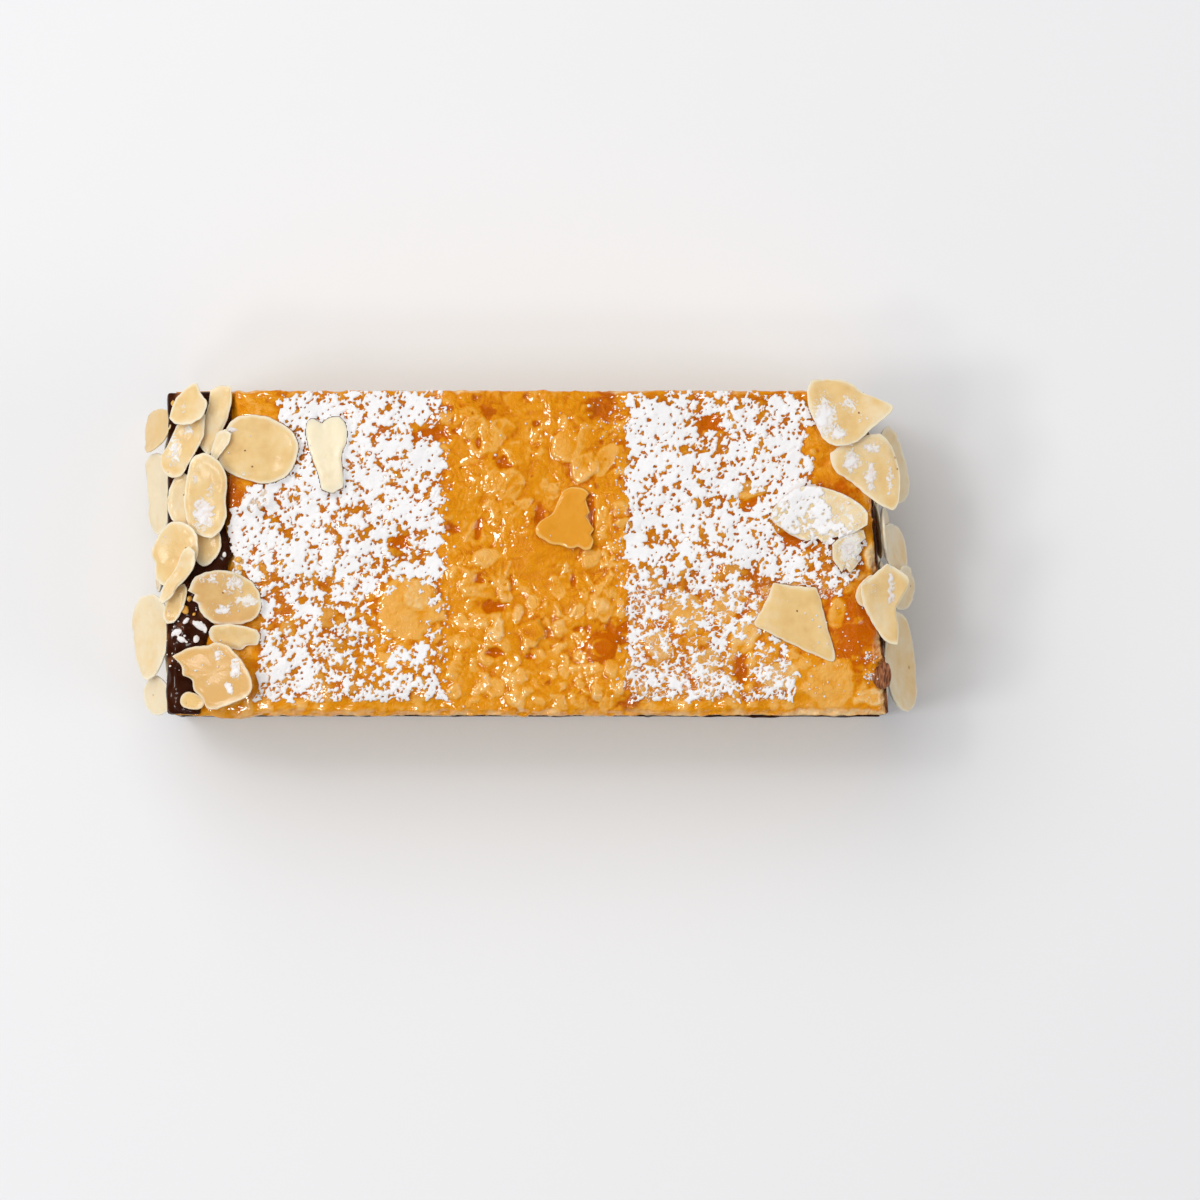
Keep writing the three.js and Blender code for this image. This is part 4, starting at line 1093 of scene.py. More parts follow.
def layerOutline(node, step):
    # the layer seen from above, as points round it, and which way each is pushed: the two cut ends stay
    low, high = boxOf(node)
    half = high[1]
    middle, slope = endLine(node)
    along = round((middle - low[0]) / step)
    corners = [(low[0], -half), (middle + slope * half, -half), (middle - slope * half, half), (low[0], half)]
    outline, outward = [], []
    for k, (count, way) in enumerate(((along, -1.0), (14, 0.0), (along, 1.0), (14, 0.0))):
        outline.append(np.linspace(corners[k], corners[(k + 1) % 4], count + 1)[:-1])
        outward.append(np.full((count, 2), (0, way)))
    return np.concatenate(outline), np.concatenate(outward)


def cakeWall(ring, plan, onFloor):
    # one ring of the cake's wall: how far it is pushed out, how much painted shade its pores get, and how
    # much it is baked
    away, number = nearestDot(ring * (1, 1, 1.25), plan["porePitch"], 61)
    size = 0.25 + 0.75 * number ** 2
    pore = smoothStep(size, size * 0.35, away)
    fine, fineNumber = nearestDot(ring, 0.85, 66)
    small = smoothStep(0.34, 0.1, fine) * (fineNumber > 0.35)
    rough = layeredNoise(ring, 1.3, 3, 67)
    push = 0.16 * rough - plan["pore"] * pore * (0.4 + 0.6 * number) - 0.22 * small
    push = push + 0.22 * softNoise(ring, 7.0, 68) - 0.1
    poreShade = np.clip(pore + 0.5 * small - 0.15 * rough, 0, 1)
    baked = smoothStep(1.3, 0.2, ring[:, 2] + 0.5 * rough) if onFloor else np.zeros(len(ring))
    return push, poreShade, baked


def chocolateWall(ring):
    # the same for the chocolate between the cakes, which is smeared and never baked
    push = 0.45 * layeredNoise(ring, 3.0, 3, 71) - 0.20 + 0.25 * smoothStep(20, 42, ring[:, 0])
    return push, smoothStep(0.1, 0.9, softNoise(ring, 2.2, 73)) * 0.8, np.zeros(len(ring))


def makeLayer(node):
    plan = layerPlan[node]
    low, high = boxOf(node)
    outline, outward = layerOutline(node, plan["step"])
    count = len(outline)
    cake = plan["pore"] > 0
    onFloor = low[2] < 1
    rings, tints, baked = [], [], []
    for k in range(plan["rows"] + 1):
        share = k / plan["rows"]
        z = high[2] + (low[2] - high[2]) * share
        ring = np.concatenate([outline, np.full((count, 1), z)], axis=1)
        push, tint, bake = cakeWall(ring, plan, onFloor) if cake else chocolateWall(ring)
        if cake and share in (0, 1):
            push = np.minimum(push, -0.1)
        rounded = 1 - abs(2 * share - 1) ** 6
        ring[:, :2] += outward * (push * max(rounded, 0.25))[:, None]
        rings.append(ring)
        tints.append(tint)
        baked.append(bake)
    points = np.concatenate(rings)
    total = len(points)
    centre = [points[:, 0].mean(), 0]
    points = np.concatenate([points, [[*centre, high[2]], [*centre, low[2]]]])
    faces = ringFaces(plan["rows"] + 1, count)
    faces += fanFaces(np.arange(count), total)
    faces += fanFaces(np.arange(total - count, total), total + 1, turned=True)
    tint = np.concatenate([*tints, [0, 0]])
    bake = np.concatenate([*baked, [0, 1 if onFloor else 0]])
    marks = {"pore": tint, "baked": bake} if cake else {"smear": tint, "dust": tint * 0}
    material = lightCake if cake else chocolate
    makePiece(plan["piece"], points, faces, [node], material, marks)


for layerNode in layerPlan:
    makeLayer(layerNode)
print("cakes and chocolate layer made")


# Chocolate over the ends.

coatPlan = {
    "chocolate_coat_left": {
        "piece": "chocolateCoatLeft", "voxel": 0.42, "rough": 0.28, "seed": 81, "warm": 0.0, "dust": 0.35,
    },
    "chocolate_coat_right": {
        "piece": "chocolateCoatRight", "voxel": 0.26, "rough": 0.12, "seed": 85, "warm": 0.55, "dust": 0.0,
    },
}


def remeshed(node, voxel):
    # the node's solid again, in even small faces
    source = bpy.data.objects.new("draft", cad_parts[node].data.copy())
    bpy.context.scene.collection.objects.link(source)
    remesh = source.modifiers.new("even", "REMESH")
    remesh.mode = "VOXEL"
    remesh.voxel_size = voxel * mm
    source.modifiers.new("soft", "SMOOTH").iterations = 2
    fresh = source.evaluated_get(bpy.context.evaluated_depsgraph_get()).to_mesh()
    points = np.array([v.co for v in fresh.vertices]) / mm
    normals = np.array([v.normal for v in fresh.vertices])
    faces = [tuple(p.vertices) for p in fresh.polygons]
    source.to_mesh_clear()
    bpy.data.objects.remove(source)
    return points, normals, faces


def makeCoat(node):
    plan = coatPlan[node]
    points, normals, faces = remeshed(node, plan["voxel"])
    seed = plan["seed"]
    lumps = layeredNoise(points, 3.2, 3, seed)
    drips = layeredNoise(points * (1, 1, 0.35), 2.4, 2, seed + 2)
    onTop = normals[:, 2] > 0.5
    push = plan["rough"] * (lumps + 0.6 * drips)
    push = push + np.where(onTop, 0.3 * softNoise(points, 1.5, seed + 5), 0)
    points = points + normals * push[:, None]
    smear = smoothStep(0.1 - plan["warm"], 0.8 - plan["warm"], layeredNoise(points, 2.0, 3, seed + 7))
    dust = smoothStep(0.45, 0.9, softNoise(points, 2.6, seed + 9)) * onTop * plan["dust"]
    marks = {"smear": smear, "dust": dust}
    makePiece(plan["piece"], points, faces, [node], chocolate, marks)


for coatNode in coatPlan:
    makeCoat(coatNode)
print("chocolate ends made")


# Flaked almonds. Each is drawn again from its solid, finer and more uneven.

flakePlan = {
    "around": 112,
    "rings": [0.0, 0.2, 0.4, 0.56, 0.7, 0.81, 0.89, 0.94, 0.97, 0.99, 1.0],
    "ragged": 0.22,
    "warp": 0.22,
    "thick": 0.85,
    "rimShare": 0.42,  # of the thickness, at the rim
    "innerShare": 0.58,  # of the thickness, that is added further in
    "lip": 0.02,
    "settled": 0.3,  # how far a flake on the top sinks into what it lies on
    "dust": 0.03,
}

# What sets single flakes apart. bites: middle and radius of what is broken out of the outline, from above.
flakeLooks = {
    "flake_left_11": {"tone": 0.9, "foot": 0.9, "hug": 1.4},
    "flake_left_12": {"tone": 0.8, "foot": 1.2, "hug": 1.0},
    "flake_left_13": {"tone": 0.9, "foot": 1.2, "hug": 1.6},
    "flake_left_14": {"amber": 0.5, "tone": 0.6, "foot": 1.0, "hug": 1.5},
    "flake_right_10": {"tone": 0.7, "foot": 1.6},
    "flake_right_11": {"tone": 0.7, "foot": 1.4},
    "flake_right_12": {"tone": 0.7, "foot": 0.8, "hug": 1.0},
    "flake_right_13": {"tone": 0.6, "foot": 0.6, "hug": 0.6},
    "flake_right_14": {"tone": 0.8, "foot": 0.8, "hug": 1.0},
    "flake_top_01": {"tone": 0.6, "bites": [(-60.9, 8.9, 0.9), (-60.9, 7.2, 0.9), (-60.5, 5.4, 0.95)]},
    "flake_top_02": {"tone": 0.0, "amber": 0.3},
    "flake_top_03": {"tone": 0.2, "dust": 0.3},
    "flake_top_04": {"tone": 0.6, "dust": 0.06},
    "flake_top_05": {"tone": 0.35, "dust": 0.15},
    "flake_top_06": {"tone": 0.5, "dust": 0.08, "bites": [(-57.8, 29.2, 0.8), (-60.5, 21.8, 0.9)]},
    "flake_top_08": {"tone": 0.1, "dust": 0.08},
    "flake_top_09": {"tone": 0.9, "dust": 0.05, "thick": 0.6, "sink": 0.6},
    "flake_top_10": {"tone": 0.35, "dust": 0.08},
    "flake_top_11": {"tone": 0.35, "dust": 0.1},
    "flake_top_12": {"tone": 0.7},
    "flake_top_13": {"tone": -0.2, "dust": 0.2},
    "flake_top_14": {"tone": 0.25, "dust": 0.05},
    "flake_top_15": {"tone": -0.7, "amber": 0.18, "dust": 0.04},
    "flake_top_16": {"tone": 1.65, "dust": 0.06, "sink": 0.6, "flatten": 0.4},
    "flake_top_17": {"tone": 0.55, "dust": 0.5, "sink": 0.7, "flatten": 0.5},
    "flake_top_18": {"tone": 0.40, "dust": 0.35, "sink": 0.3},
    "flake_top_19": {"tone": 0.5},
    "flake_top_20": {"tone": 0.40, "dust": 0.14},
    "flake_top_21": {"tone": 0.35, "dust": 0.15},
    "flake_top_22": {"tone": 0.45, "amber": 0.12, "sink": 0.6},
    "flake_top_23": {"tone": 0.45, "dust": 0.1, "sink": 0.9},
    "glazed_shard": {"thick": 0.8, "lip": 0.10, "sink": 0.3},
}

# Outlines of the flakes that show most, seen from above.
flakeOutlines = {
    "flake_top_15": [
        (-58.7, -17.4), (-56.2, -16.2), (-53.4, -15.7), (-51.0, -15.2), (-49.1, -15.8),
        (-47.9, -17.2), (-46.3, -19.4), (-45.3, -21.7), (-45.7, -23.7), (-47.3, -24.7),
        (-50.2, -25.9), (-51.8, -26.2), (-53.0, -25.8), (-53.6, -24.5), (-55.0, -23.1),
        (-55.5, -21.3), (-57.0, -20.6), (-57.3, -19.0),
    ],
    "flake_top_13": [
        (-55.8, -5.9), (-54.6, -4.1), (-52.2, -3.2), (-49.5, -3.2), (-47.1, -4.0), (-45.1, -5.5),
        (-44.1, -7.9), (-44.3, -10.1), (-45.9, -11.5), (-48.7, -12.0), (-51.4, -11.9),
        (-53.0, -11.1), (-54.0, -9.9), (-54.4, -8.7), (-55.4, -8.1), (-54.9, -7.1), (-56.0, -6.5),
    ],
    "flake_top_14": [
        (-52.6, -13.3), (-51.8, -12.4), (-49.5, -12.1), (-47.1, -12.4), (-44.7, -13.0),
        (-44.2, -14.2), (-44.7, -15.4), (-46.3, -15.6), (-47.3, -16.2), (-49.5, -16.0),
        (-51.0, -15.4), (-52.2, -14.6),
    ],
    "flake_top_08": [
        (-51.0, 15.4), (-50.5, 18.2), (-49.5, 21.3), (-47.5, 22.9), (-44.3, 23.0), (-41.6, 22.1),
        (-39.2, 20.5), (-37.9, 18.2), (-38.2, 15.4), (-39.6, 13.0), (-41.6, 12.0), (-44.3, 11.8),
        (-47.1, 12.5), (-49.5, 13.6),
    ],
    "flake_top_10": [
        (-56.2, 13.0), (-55.4, 15.4), (-53.8, 16.4), (-52.2, 16.2), (-50.6, 14.6), (-49.7, 12.2),
        (-49.9, 9.1), (-49.7, 6.3), (-50.5, 3.9), (-52.2, 2.4), (-54.2, 2.8), (-55.8, 4.3),
        (-56.7, 7.1), (-56.6, 10.3),
    ],
    "flake_top_16": [
        (-36.2, 22.0), (-35.2, 22.3), (-33.8, 21.6), (-32.6, 22.6), (-30.9, 22.8), (-29.8, 21.2),
        (-29.7, 19.0), (-30.5, 16.2), (-30.3, 13.0), (-30.3, 10.9), (-32.0, 10.0), (-33.8, 10.6),
        (-34.6, 13.8), (-35.6, 16.5), (-36.4, 19.5),
    ],
    "flake_top_05": [
        (-60.9, 15.8), (-59.7, 18.2), (-58.1, 21.3), (-56.2, 22.5), (-54.2, 23.7), (-53.4, 22.9),
        (-53.8, 19.7), (-55.0, 17.0), (-56.2, 15.0), (-57.3, 13.0), (-58.9, 12.5), (-60.5, 13.8),
    ],
    "flake_top_06": [
        (-59.2, 22.5), (-58.5, 25.3), (-57.3, 26.8), (-55.8, 28.0), (-54.7, 28.3), (-54.0, 26.4),
        (-53.2, 25.3), (-53.4, 23.3), (-54.6, 22.1), (-56.2, 21.5), (-58.1, 21.5),
    ],
    "flake_top_09": [
        (-51.3, 19.8), (-50.0, 20.5), (-49.1, 19.7), (-49.4, 18.4), (-50.5, 16.9), (-51.4, 15.5),
        (-52.4, 15.8), (-52.2, 17.3), (-51.6, 18.7),
    ],
    "flake_top_04": [
        (-54.4, 18.2), (-54.0, 21.3), (-53.0, 24.5), (-52.6, 27.2), (-51.0, 28.0), (-49.2, 27.8),
        (-49.1, 25.3), (-50.0, 22.1), (-51.0, 19.7), (-51.8, 17.4), (-53.0, 16.4),
    ],
    "flake_top_11": [
        (-62.3, 0.0), (-61.3, 2.7), (-59.7, 4.6), (-57.7, 5.1), (-55.8, 4.3), (-54.6, 2.3),
        (-54.7, -0.8), (-56.2, -3.6), (-58.5, -5.9), (-60.5, -5.5), (-61.7, -4.0), (-61.8, -2.0),
    ],
    "flake_top_12": [
        (-60.9, -7.9), (-60.1, -5.5), (-58.1, -2.4), (-56.9, 0.0), (-55.8, 0.9), (-54.7, 0.0),
        (-55.0, -2.4), (-56.2, -4.0), (-58.1, -5.9), (-58.9, -7.5), (-60.3, -8.5),
    ],
    "flake_top_21": [
        (47.5, 26.8), (48.3, 28.8), (50.6, 29.1), (54.2, 28.8), (57.3, 26.8), (61.3, 24.9),
        (61.8, 24.0), (60.5, 22.5), (58.1, 20.5), (55.8, 18.5), (53.0, 17.8), (50.6, 18.5),
        (49.0, 21.3), (47.9, 24.1),
    ],
    "flake_top_20": [
        (51.3, 16.6), (53.8, 18.2), (56.9, 19.3), (59.7, 20.1), (61.7, 18.2), (62.9, 15.0),
        (63.2, 11.4), (62.5, 7.9), (61.7, 7.1), (59.3, 8.3), (56.5, 10.6), (54.6, 12.2),
        (52.6, 13.4), (51.6, 15.0),
    ],
    "flake_top_17": [
        (41.5, 6.3), (42.7, 8.3), (45.1, 10.4), (48.3, 11.2), (52.2, 10.3), (55.4, 8.7),
        (57.4, 6.7), (57.4, 4.7), (55.4, 3.5), (52.2, 2.6), (50.4, 1.8), (49.0, 2.5), (47.3, 2.0),
        (45.1, 3.0), (43.1, 4.3), (41.8, 5.3),
    ],
    "flake_top_22": [
        (41.9, -5.3), (45.1, -5.5), (49.0, -5.9), (49.4, -7.0), (49.8, -8.4), (50.4, -11.0),
        (51.4, -14.2), (52.2, -17.4), (51.8, -18.3), (49.8, -17.6), (45.9, -15.8), (41.9, -13.8),
        (38.9, -12.3), (38.8, -11.5), (40.4, -8.7),
    ],
    "flake_top_23": [
        (56.3, -5.5), (58.5, -4.0), (59.7, -2.8), (60.7, -2.0), (62.5, -2.8), (64.2, -4.0),
        (64.5, -5.5), (63.3, -7.9), (62.5, -9.5), (62.9, -12.7), (62.5, -15.4), (60.9, -15.0),
        (59.3, -13.0), (58.1, -11.1), (56.9, -8.7),
    ],
    "flake_top_18": [
        (51.8, 1.2), (53.4, 2.4), (55.4, 3.5), (56.9, 3.7), (57.3, 2.4), (56.4, 1.6), (56.7, 0.4),
        (55.7, -0.6), (56.0, -1.8), (54.6, -3.4), (53.8, -2.4), (53.2, -3.2), (51.8, -1.2),
    ],
    "glazed_shard": [
        (2.1, 4.2), (3.1, 5.4), (4.8, 6.6), (5.9, 8.6), (6.6, 10.2), (8.0, 10.9), (10.1, 10.6),
        (10.9, 9.8), (10.3, 8.9), (10.7, 7.8), (11.1, 6.8), (10.5, 6.0), (11.2, 4.8), (11.8, 3.9),
        (11.1, 3.0), (11.7, 1.8), (11.3, 0.6), (10.3, 0.4), (9.1, 1.0), (7.7, 0.8), (6.0, 1.3),
        (4.9, 1.4), (3.4, 2.1), (2.1, 3.0),
    ],
}

# Sugar that clings to the flakes: middle, half sizes, strength.
clinging = [
    (-58.6, 17.5, 1.4, 3.6, 0.55), (-56.2, 20.4, 1.2, 1.6, 0.45), (-53.6, 6.2, 2.2, 3.2, 0.75),
    (-52.0, 10.4, 1.4, 2.0, 0.45), (-55.0, 12.2, 0.9, 1.8, 0.45), (-49.0, 20.4, 1.1, 0.8, 0.60),
    (-46.6, 13.2, 3.4, 0.8, 0.40), (-52.0, -4.4, 2.6, 1.1, 0.50), (-48.6, -5.2, 1.8, 1.8, 0.55),
    (-46.2, -8.2, 1.8, 1.2, 0.75), (-50.2, -9.6, 1.8, 0.9, 0.60), (-48.0, -19.6, 1.1, 2.4, 0.80),
    (-49.0, -22.8, 0.9, 1.4, 0.80), (-51.0, -17.0, 2.0, 1.4, 0.50), (-52.9, -21.8, 0.8, 0.7, 0.60),
    (50.4, 22.6, 2.0, 3.8, 0.85), (52.8, 20.0, 1.6, 1.6, 0.65), (54.4, 24.8, 1.8, 1.6, 0.60),
    (57.0, 22.6, 1.2, 1.0, 0.45), (54.9, 15.4, 1.3, 2.2, 0.95), (58.2, 12.6, 1.2, 2.8, 0.70),
    (61.4, 12.4, 0.9, 3.0, 0.60), (58.4, 17.6, 2.0, 1.0, 0.60), (61.6, -6.0, 0.8, 3.6, 0.60),
    (58.6, -6.8, 1.0, 2.2, 0.45), (54.8, 0.6, 2.0, 2.4, 0.60), (-57.0, 24.5, 1.2, 1.6, 0.40),
    (-59.6, 2.6, 1.8, 1.4, 0.40), (45.2, -9.6, 3.0, 2.0, 0.12),
]


def rimOf(node):
    # the solid's own plane, its bend as six numbers, and the corners of its rim on that plane
    points = nodePoints(node)
    middle = np.unique(np.round(points, 4), axis=0)
    centre = middle.mean(axis=0)
    axes = np.linalg.svd(middle - centre, full_matrices=False)[2]
    upright = abs(axes[2][2]) <= 0.5
    if (axes[2][0] * centre[0] if upright else axes[2][2]) < 0:
        axes[2] = -axes[2]
    axes[1] = np.cross(axes[2], axes[0])
    u, v, w = ((middle - centre) @ axes.T).T
    bend = np.linalg.lstsq(bendTerms(u, v), w, rcond=None)[0]
    rim = set()
    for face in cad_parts[node].data.polygons:
        if abs(np.array(face.normal) @ axes[2]) < 0.5:
            rim.update(face.vertices)
    rimPoints = (points[sorted(rim)] - centre) @ axes.T
    rimPoints = rimPoints[np.argsort(np.arctan2(rimPoints[:, 1], rimPoints[:, 0]))]
    corners = [[rimPoints[0][:2]]]
    for point in rimPoints[1:, :2]:
        if np.hypot(*(point - corners[-1][0])) < sameCorner:
            corners[-1].append(point)
        else:
            corners.append([point])
    if np.hypot(*(corners[0][0] - corners[-1][0])) < sameCorner:
        corners[0] += corners.pop()
    return centre, axes, bend, np.array([np.mean(c, axis=0) for c in corners])


def bendTerms(u, v):
    return np.stack([np.ones_like(u), u, v, u * u, u * v, v * v], axis=-1)


def turnOf(corners):  # twice the area inside, below zero when they run clockwise
    x, y = corners.T
    return (x * np.roll(y, -1) - y * np.roll(x, -1)).sum()


sharpTurn = 0.9  # in radians: a corner of a rim that turns more than this isn't rounded off
sameCorner = 0.22  # points of a rim nearer than this are one corner


def cornerTurn(a, b, c):
    d, e = b - a, c - b
    return abs(math.atan2(d[0] * e[1] - d[1] * e[0], d @ e))


def smoothRim(corners, around):
    # evenly spaced points on a closed curve through the corners, smooth but at sharp turns
    n = len(corners)
    path = []
    for k in range(n):
        p = [corners[(k + d) % n] for d in (-1, 0, 1, 2)]
        before = p[0] if cornerTurn(p[0], p[1], p[2]) < sharpTurn else 2 * p[1] - p[2]
        after = p[3] if cornerTurn(p[1], p[2], p[3]) < sharpTurn else 2 * p[2] - p[1]
        for t in np.linspace(0, 1, 8, endpoint=False):
            squared = (2 * before - 5 * p[1] + 4 * p[2] - after) * t ** 2
            cubed = (3 * p[1] - before - 3 * p[2] + after) * t ** 3
            path.append(0.5 * (2 * p[1] + (p[2] - before) * t + squared + cubed))
    path = np.array([*path, path[0]])
    travelled = np.concatenate([[0], np.cumsum(np.hypot(*np.diff(path, axis=0).T))])
    at = np.linspace(0, travelled[-1], around, endpoint=False)
    return np.stack([np.interp(at, travelled, path[:, 0]), np.interp(at, travelled, path[:, 1])], axis=-1)


def onPlane(x, y, centre, axes):  # the spot of a flake's own plane that lies under a point of the plan
    height = centre[2] - ((x - centre[0]) * axes[2][0] + (y - centre[1]) * axes[2][1]) / axes[2][2]
    return ((np.array([x, y, height]) - centre) @ axes.T)[:2]


def bitten(rim, bites, centre, axes):
    # draws the outline back, towards its middle, out of each bite
    middle = rim.mean(axis=0)
    for x, y, radius in bites:
        inward = middle - rim
        inward /= np.linalg.norm(inward, axis=1, keepdims=True)
        out = rim - onPlane(x, y, centre, axes)
        along = (out * inward).sum(axis=1)
        inside = radius ** 2 - (out ** 2).sum(axis=1)
        step = -along + np.sqrt(np.maximum(along ** 2 + inside, 0))
        rim = np.where(inside[:, None] > 0, rim + inward * step[:, None], rim)
    return rim


def clingingAt(points):
    amount = np.zeros(len(points))
    for x, y, rx, ry, strength in clinging:
        q = ((points[:, 0] - x) / rx) ** 2 + ((points[:, 1] - y) / ry) ** 2
        amount = np.maximum(amount, strength * np.exp(-q))
    return amount


def flakeRim(node, look, number, centre, axes, corners):
    # the ragged rim on the flake's own plane, and how far each of its points was from the middle
    around = flakePlan["around"]
    if node in flakeOutlines:
        corners = np.array([onPlane(x, y, centre, axes) for x, y in flakeOutlines[node]])
        corners = corners[::int(np.sign(turnOf(corners)))]
    rim = smoothRim(corners, around)
    place = np.concatenate([rim, np.full((around, 1), number * 7.3)], axis=1)
    size = np.linalg.norm(rim, axis=1, keepdims=True)
    ragged = layeredNoise(place, 2.6, 4, 91) + 0.5 * softNoise(place, 0.8, 90)
    rim = rim * (1 - flakePlan["ragged"] * ragged[:, None] / size)
    return bitten(rim, look.get("bites", []), centre, axes), size


def flakeBody(rim, size, bend, look, number):
    # the two faces in rings from the middle out, and one more ring that rounds the rim off between them
    around = len(rim)
    rings = len(flakePlan["rings"]) - 1
    middle = rim.mean(axis=0)
    breadth = np.linalg.norm(rim - middle, axis=1).mean()
    shares = np.repeat(flakePlan["rings"][1:], around)
    spread = np.concatenate([middle + (np.tile(rim, (rings, 1)) - middle) * shares[:, None], [middle]])
    fromRim = (1 - np.append(shares, 0)) * breadth
    shareOfThick = flakePlan["rimShare"] + flakePlan["innerShare"] * smoothStep(0, 1.1, fromRim)
    half = look.get("thick", flakePlan["thick"]) * 0.5 * shareOfThick
    here = np.concatenate([spread, np.full((len(spread), 1), number * 5.1)], axis=1)
    u, v = spread.T
    warp = bendTerms(u, v) @ bend + flakePlan["warp"] * softNoise(here, 3.4, 93)
    points, faces = [], []
    for side in (1, -1):
        skin = warp + side * half + 0.05 * layeredNoise(here, 1.3, 2, 94 + side)
        skin = skin + 0.035 * softNoise(here * (0.5, 2.0, 1), 1.2, 96) * smoothStep(0.2, 1.0, fromRim)
        skin = skin + side * look.get("lip", flakePlan["lip"]) * np.exp(-((fromRim - 0.45) / 0.22) ** 2)
        first = 0 if side > 0 else len(spread)
        points.append(np.stack([u, v, skin], axis=-1))
        faces += ringFaces(rings, around, first=first, turned=side < 0)
        faces += fanFaces(first + np.arange(around), first + len(spread) - 1, turned=side < 0)
    points = np.concatenate(points)
    topRim = (rings - 1) * around + np.arange(around)
    lowRim = topRim + len(spread)
    outer = (points[topRim] + points[lowRim]) / 2
    outer[:, :2] += (outer[:, :2] - middle) / np.maximum(size, 1) * 0.1
    outerRim = len(points) + np.arange(around)
    faces += bandFaces(topRim, outerRim) + bandFaces(outerRim, lowRim)
    outerHere = np.concatenate([outer[:, :2], np.full((around, 1), number * 7.3)], axis=1)
    here = np.concatenate([here, here, outerHere])
    fromRim = np.concatenate([fromRim, fromRim, np.zeros(around)])
    return np.concatenate([points, outer]), faces, here, fromRim


def laidDown(node, points, look, centre, axes):
    # from the flake's own plane to its place on the slice
    settled = flakePlan["settled"] if "_top_" in node else 0
    world = centre + points @ axes - (0, 0, look.get("sink", settled))
    if "foot" in look:  # an upright flake: its foot out from the wall, its head in towards it
        up = (world[:, 2] - world[:, 2].min()) / (world[:, 2].max() - world[:, 2].min())
        world = world + axes[2] * (look["foot"] * (1 - up) - look.get("hug", 0) * up)[:, None]
    if "flatten" in look:
        away = world[:, :2] - centre[:2]
        rise = -(away[:, 0] * axes[2][0] + away[:, 1] * axes[2][1]) / axes[2][2]
        world[:, 2] -= look["flatten"] * rise
    return world


def drawFlake(node, look, number):
    centre, axes, bend, corners = rimOf(node)
    rim, size = flakeRim(node, look, number, centre, axes, corners)
    points, faces, here, fromRim = flakeBody(rim, size, bend, look, number)
    world = laidDown(node, points, look, centre, axes)
    dust = np.full(len(world), look.get("dust", flakePlan["dust"]))
    if axes[2][2] > 0.5:
        dust = dust + 1.1 * clingingAt(world)
    marks = {
        "edge": smoothStep(0.6 + 0.5 * softNoise(here, 2.5, 99), 0.0, fromRim),
        "tone": look.get("tone", 0.25 + 0.5 * (number * 0.618 % 1)) + 0.42 * layeredNoise(here, 3.4, 3, 97),
        "amber": np.full(len(world), look.get("amber", 0.0)),
        "dust": np.clip(dust, 0, 1),
        "skin": smoothStep(0.6, 0.85, softNoise(here, 1.3, 98)) * smoothStep(0.5, 0.0, fromRim) * 0.4,
    }
    return world, faces, marks


def pieceName(node):
    return node.replace("flake_", "almondFlake_")


flakeNodes = sorted(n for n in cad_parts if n.startswith("flake_"))
topFlakes = [pieceName(node) for node in flakeNodes if "top" in node]
for number, node in enumerate(flakeNodes):
    flakePoints, flakeFaces, flakeMarks = drawFlake(node, flakeLooks.get(node, {}), number)
    makePiece(pieceName(node), flakePoints, flakeFaces, [node], flakedAlmond, flakeMarks)
shardPoints, shardFaces, shardMarks = drawFlake("glazed_shard", flakeLooks["glazed_shard"], 61)
shardMarks["edge"] = smoothStep(0.55, 0.9, shardMarks["edge"])
makePiece("glazedShard", shardPoints, shardFaces, ["glazed_shard"], glazedAlmond, shardMarks)
print("flaked almonds:", len(flakeNodes))


chipPlan = {
    "voxel": 0.14,
    "ridge": 0.16,
    "ridgesEach": 4.5,
    "rough": 0.1,
    "sink": 1.0,
}


def makeChip():
    points, normals, faces = remeshed("almond_chip", chipPlan["voxel"])
    ridges = np.abs(np.sin(points[:, 0] * chipPlan["ridgesEach"] + 1.5 * softNoise(points, 1.2, 101)))
    push = chipPlan["ridge"] * ridges - 0.08 + chipPlan["rough"] * softNoise(points, 0.8, 102)
    points = points + normals * push[:, None]
    points[:, 2] -= chipPlan["sink"]
    makePiece("almondChip", points, faces, ["almond_chip"], almondSkin)


makeChip()


# Small loose bits: chopped nut, and specks of almond skin.

# Middle, size and how flat.
nutBits = [
    (-57.0, -9.5, 1.6, 0.6), (-56.1, -7.8, 1.0, 0.7), (-55.3, -10.3, 0.7, 0.7), (-47.9, -1.2, 1.3, 0.5),
    (-47.6, -2.6, 1.0, 0.5), (-58.9, 25.2, 1.1, 0.6),
]
# Middle.
skinSpecks = [
    (-62.5, 21.3), (-61.6, 5.8), (-46.7, 17.1), (-57.0, 9.7), (-56.5, 0.7), (62.7, 14.1), (45.8, -9.8),
    (-45.5, 14.4), (-50.3, -6.8), (56.2, 23.4),
]


def bitShape(size, flatness, seed):  # a small angular crumb round the origin
    ball, faces = ballShape(7, 11)
    place = ball + seed * 3.7
    rough = 1 + 0.34 * softNoise(place, 0.9, 201) + 0.16 * softNoise(place, 0.4, 203)
    slim = 0.7 + 0.3 * (seed * 0.37 % 1)
    shape = ball * rough[:, None] * (size / 2, size / 2 * slim, size / 2 * flatness)
    turn = seed * 2.4
    x = shape[:, 0] * math.cos(turn) - shape[:, 1] * math.sin(turn)
    y = shape[:, 0] * math.sin(turn) + shape[:, 1] * math.cos(turn)
    return np.stack([x, y, shape[:, 2]], axis=-1), faces


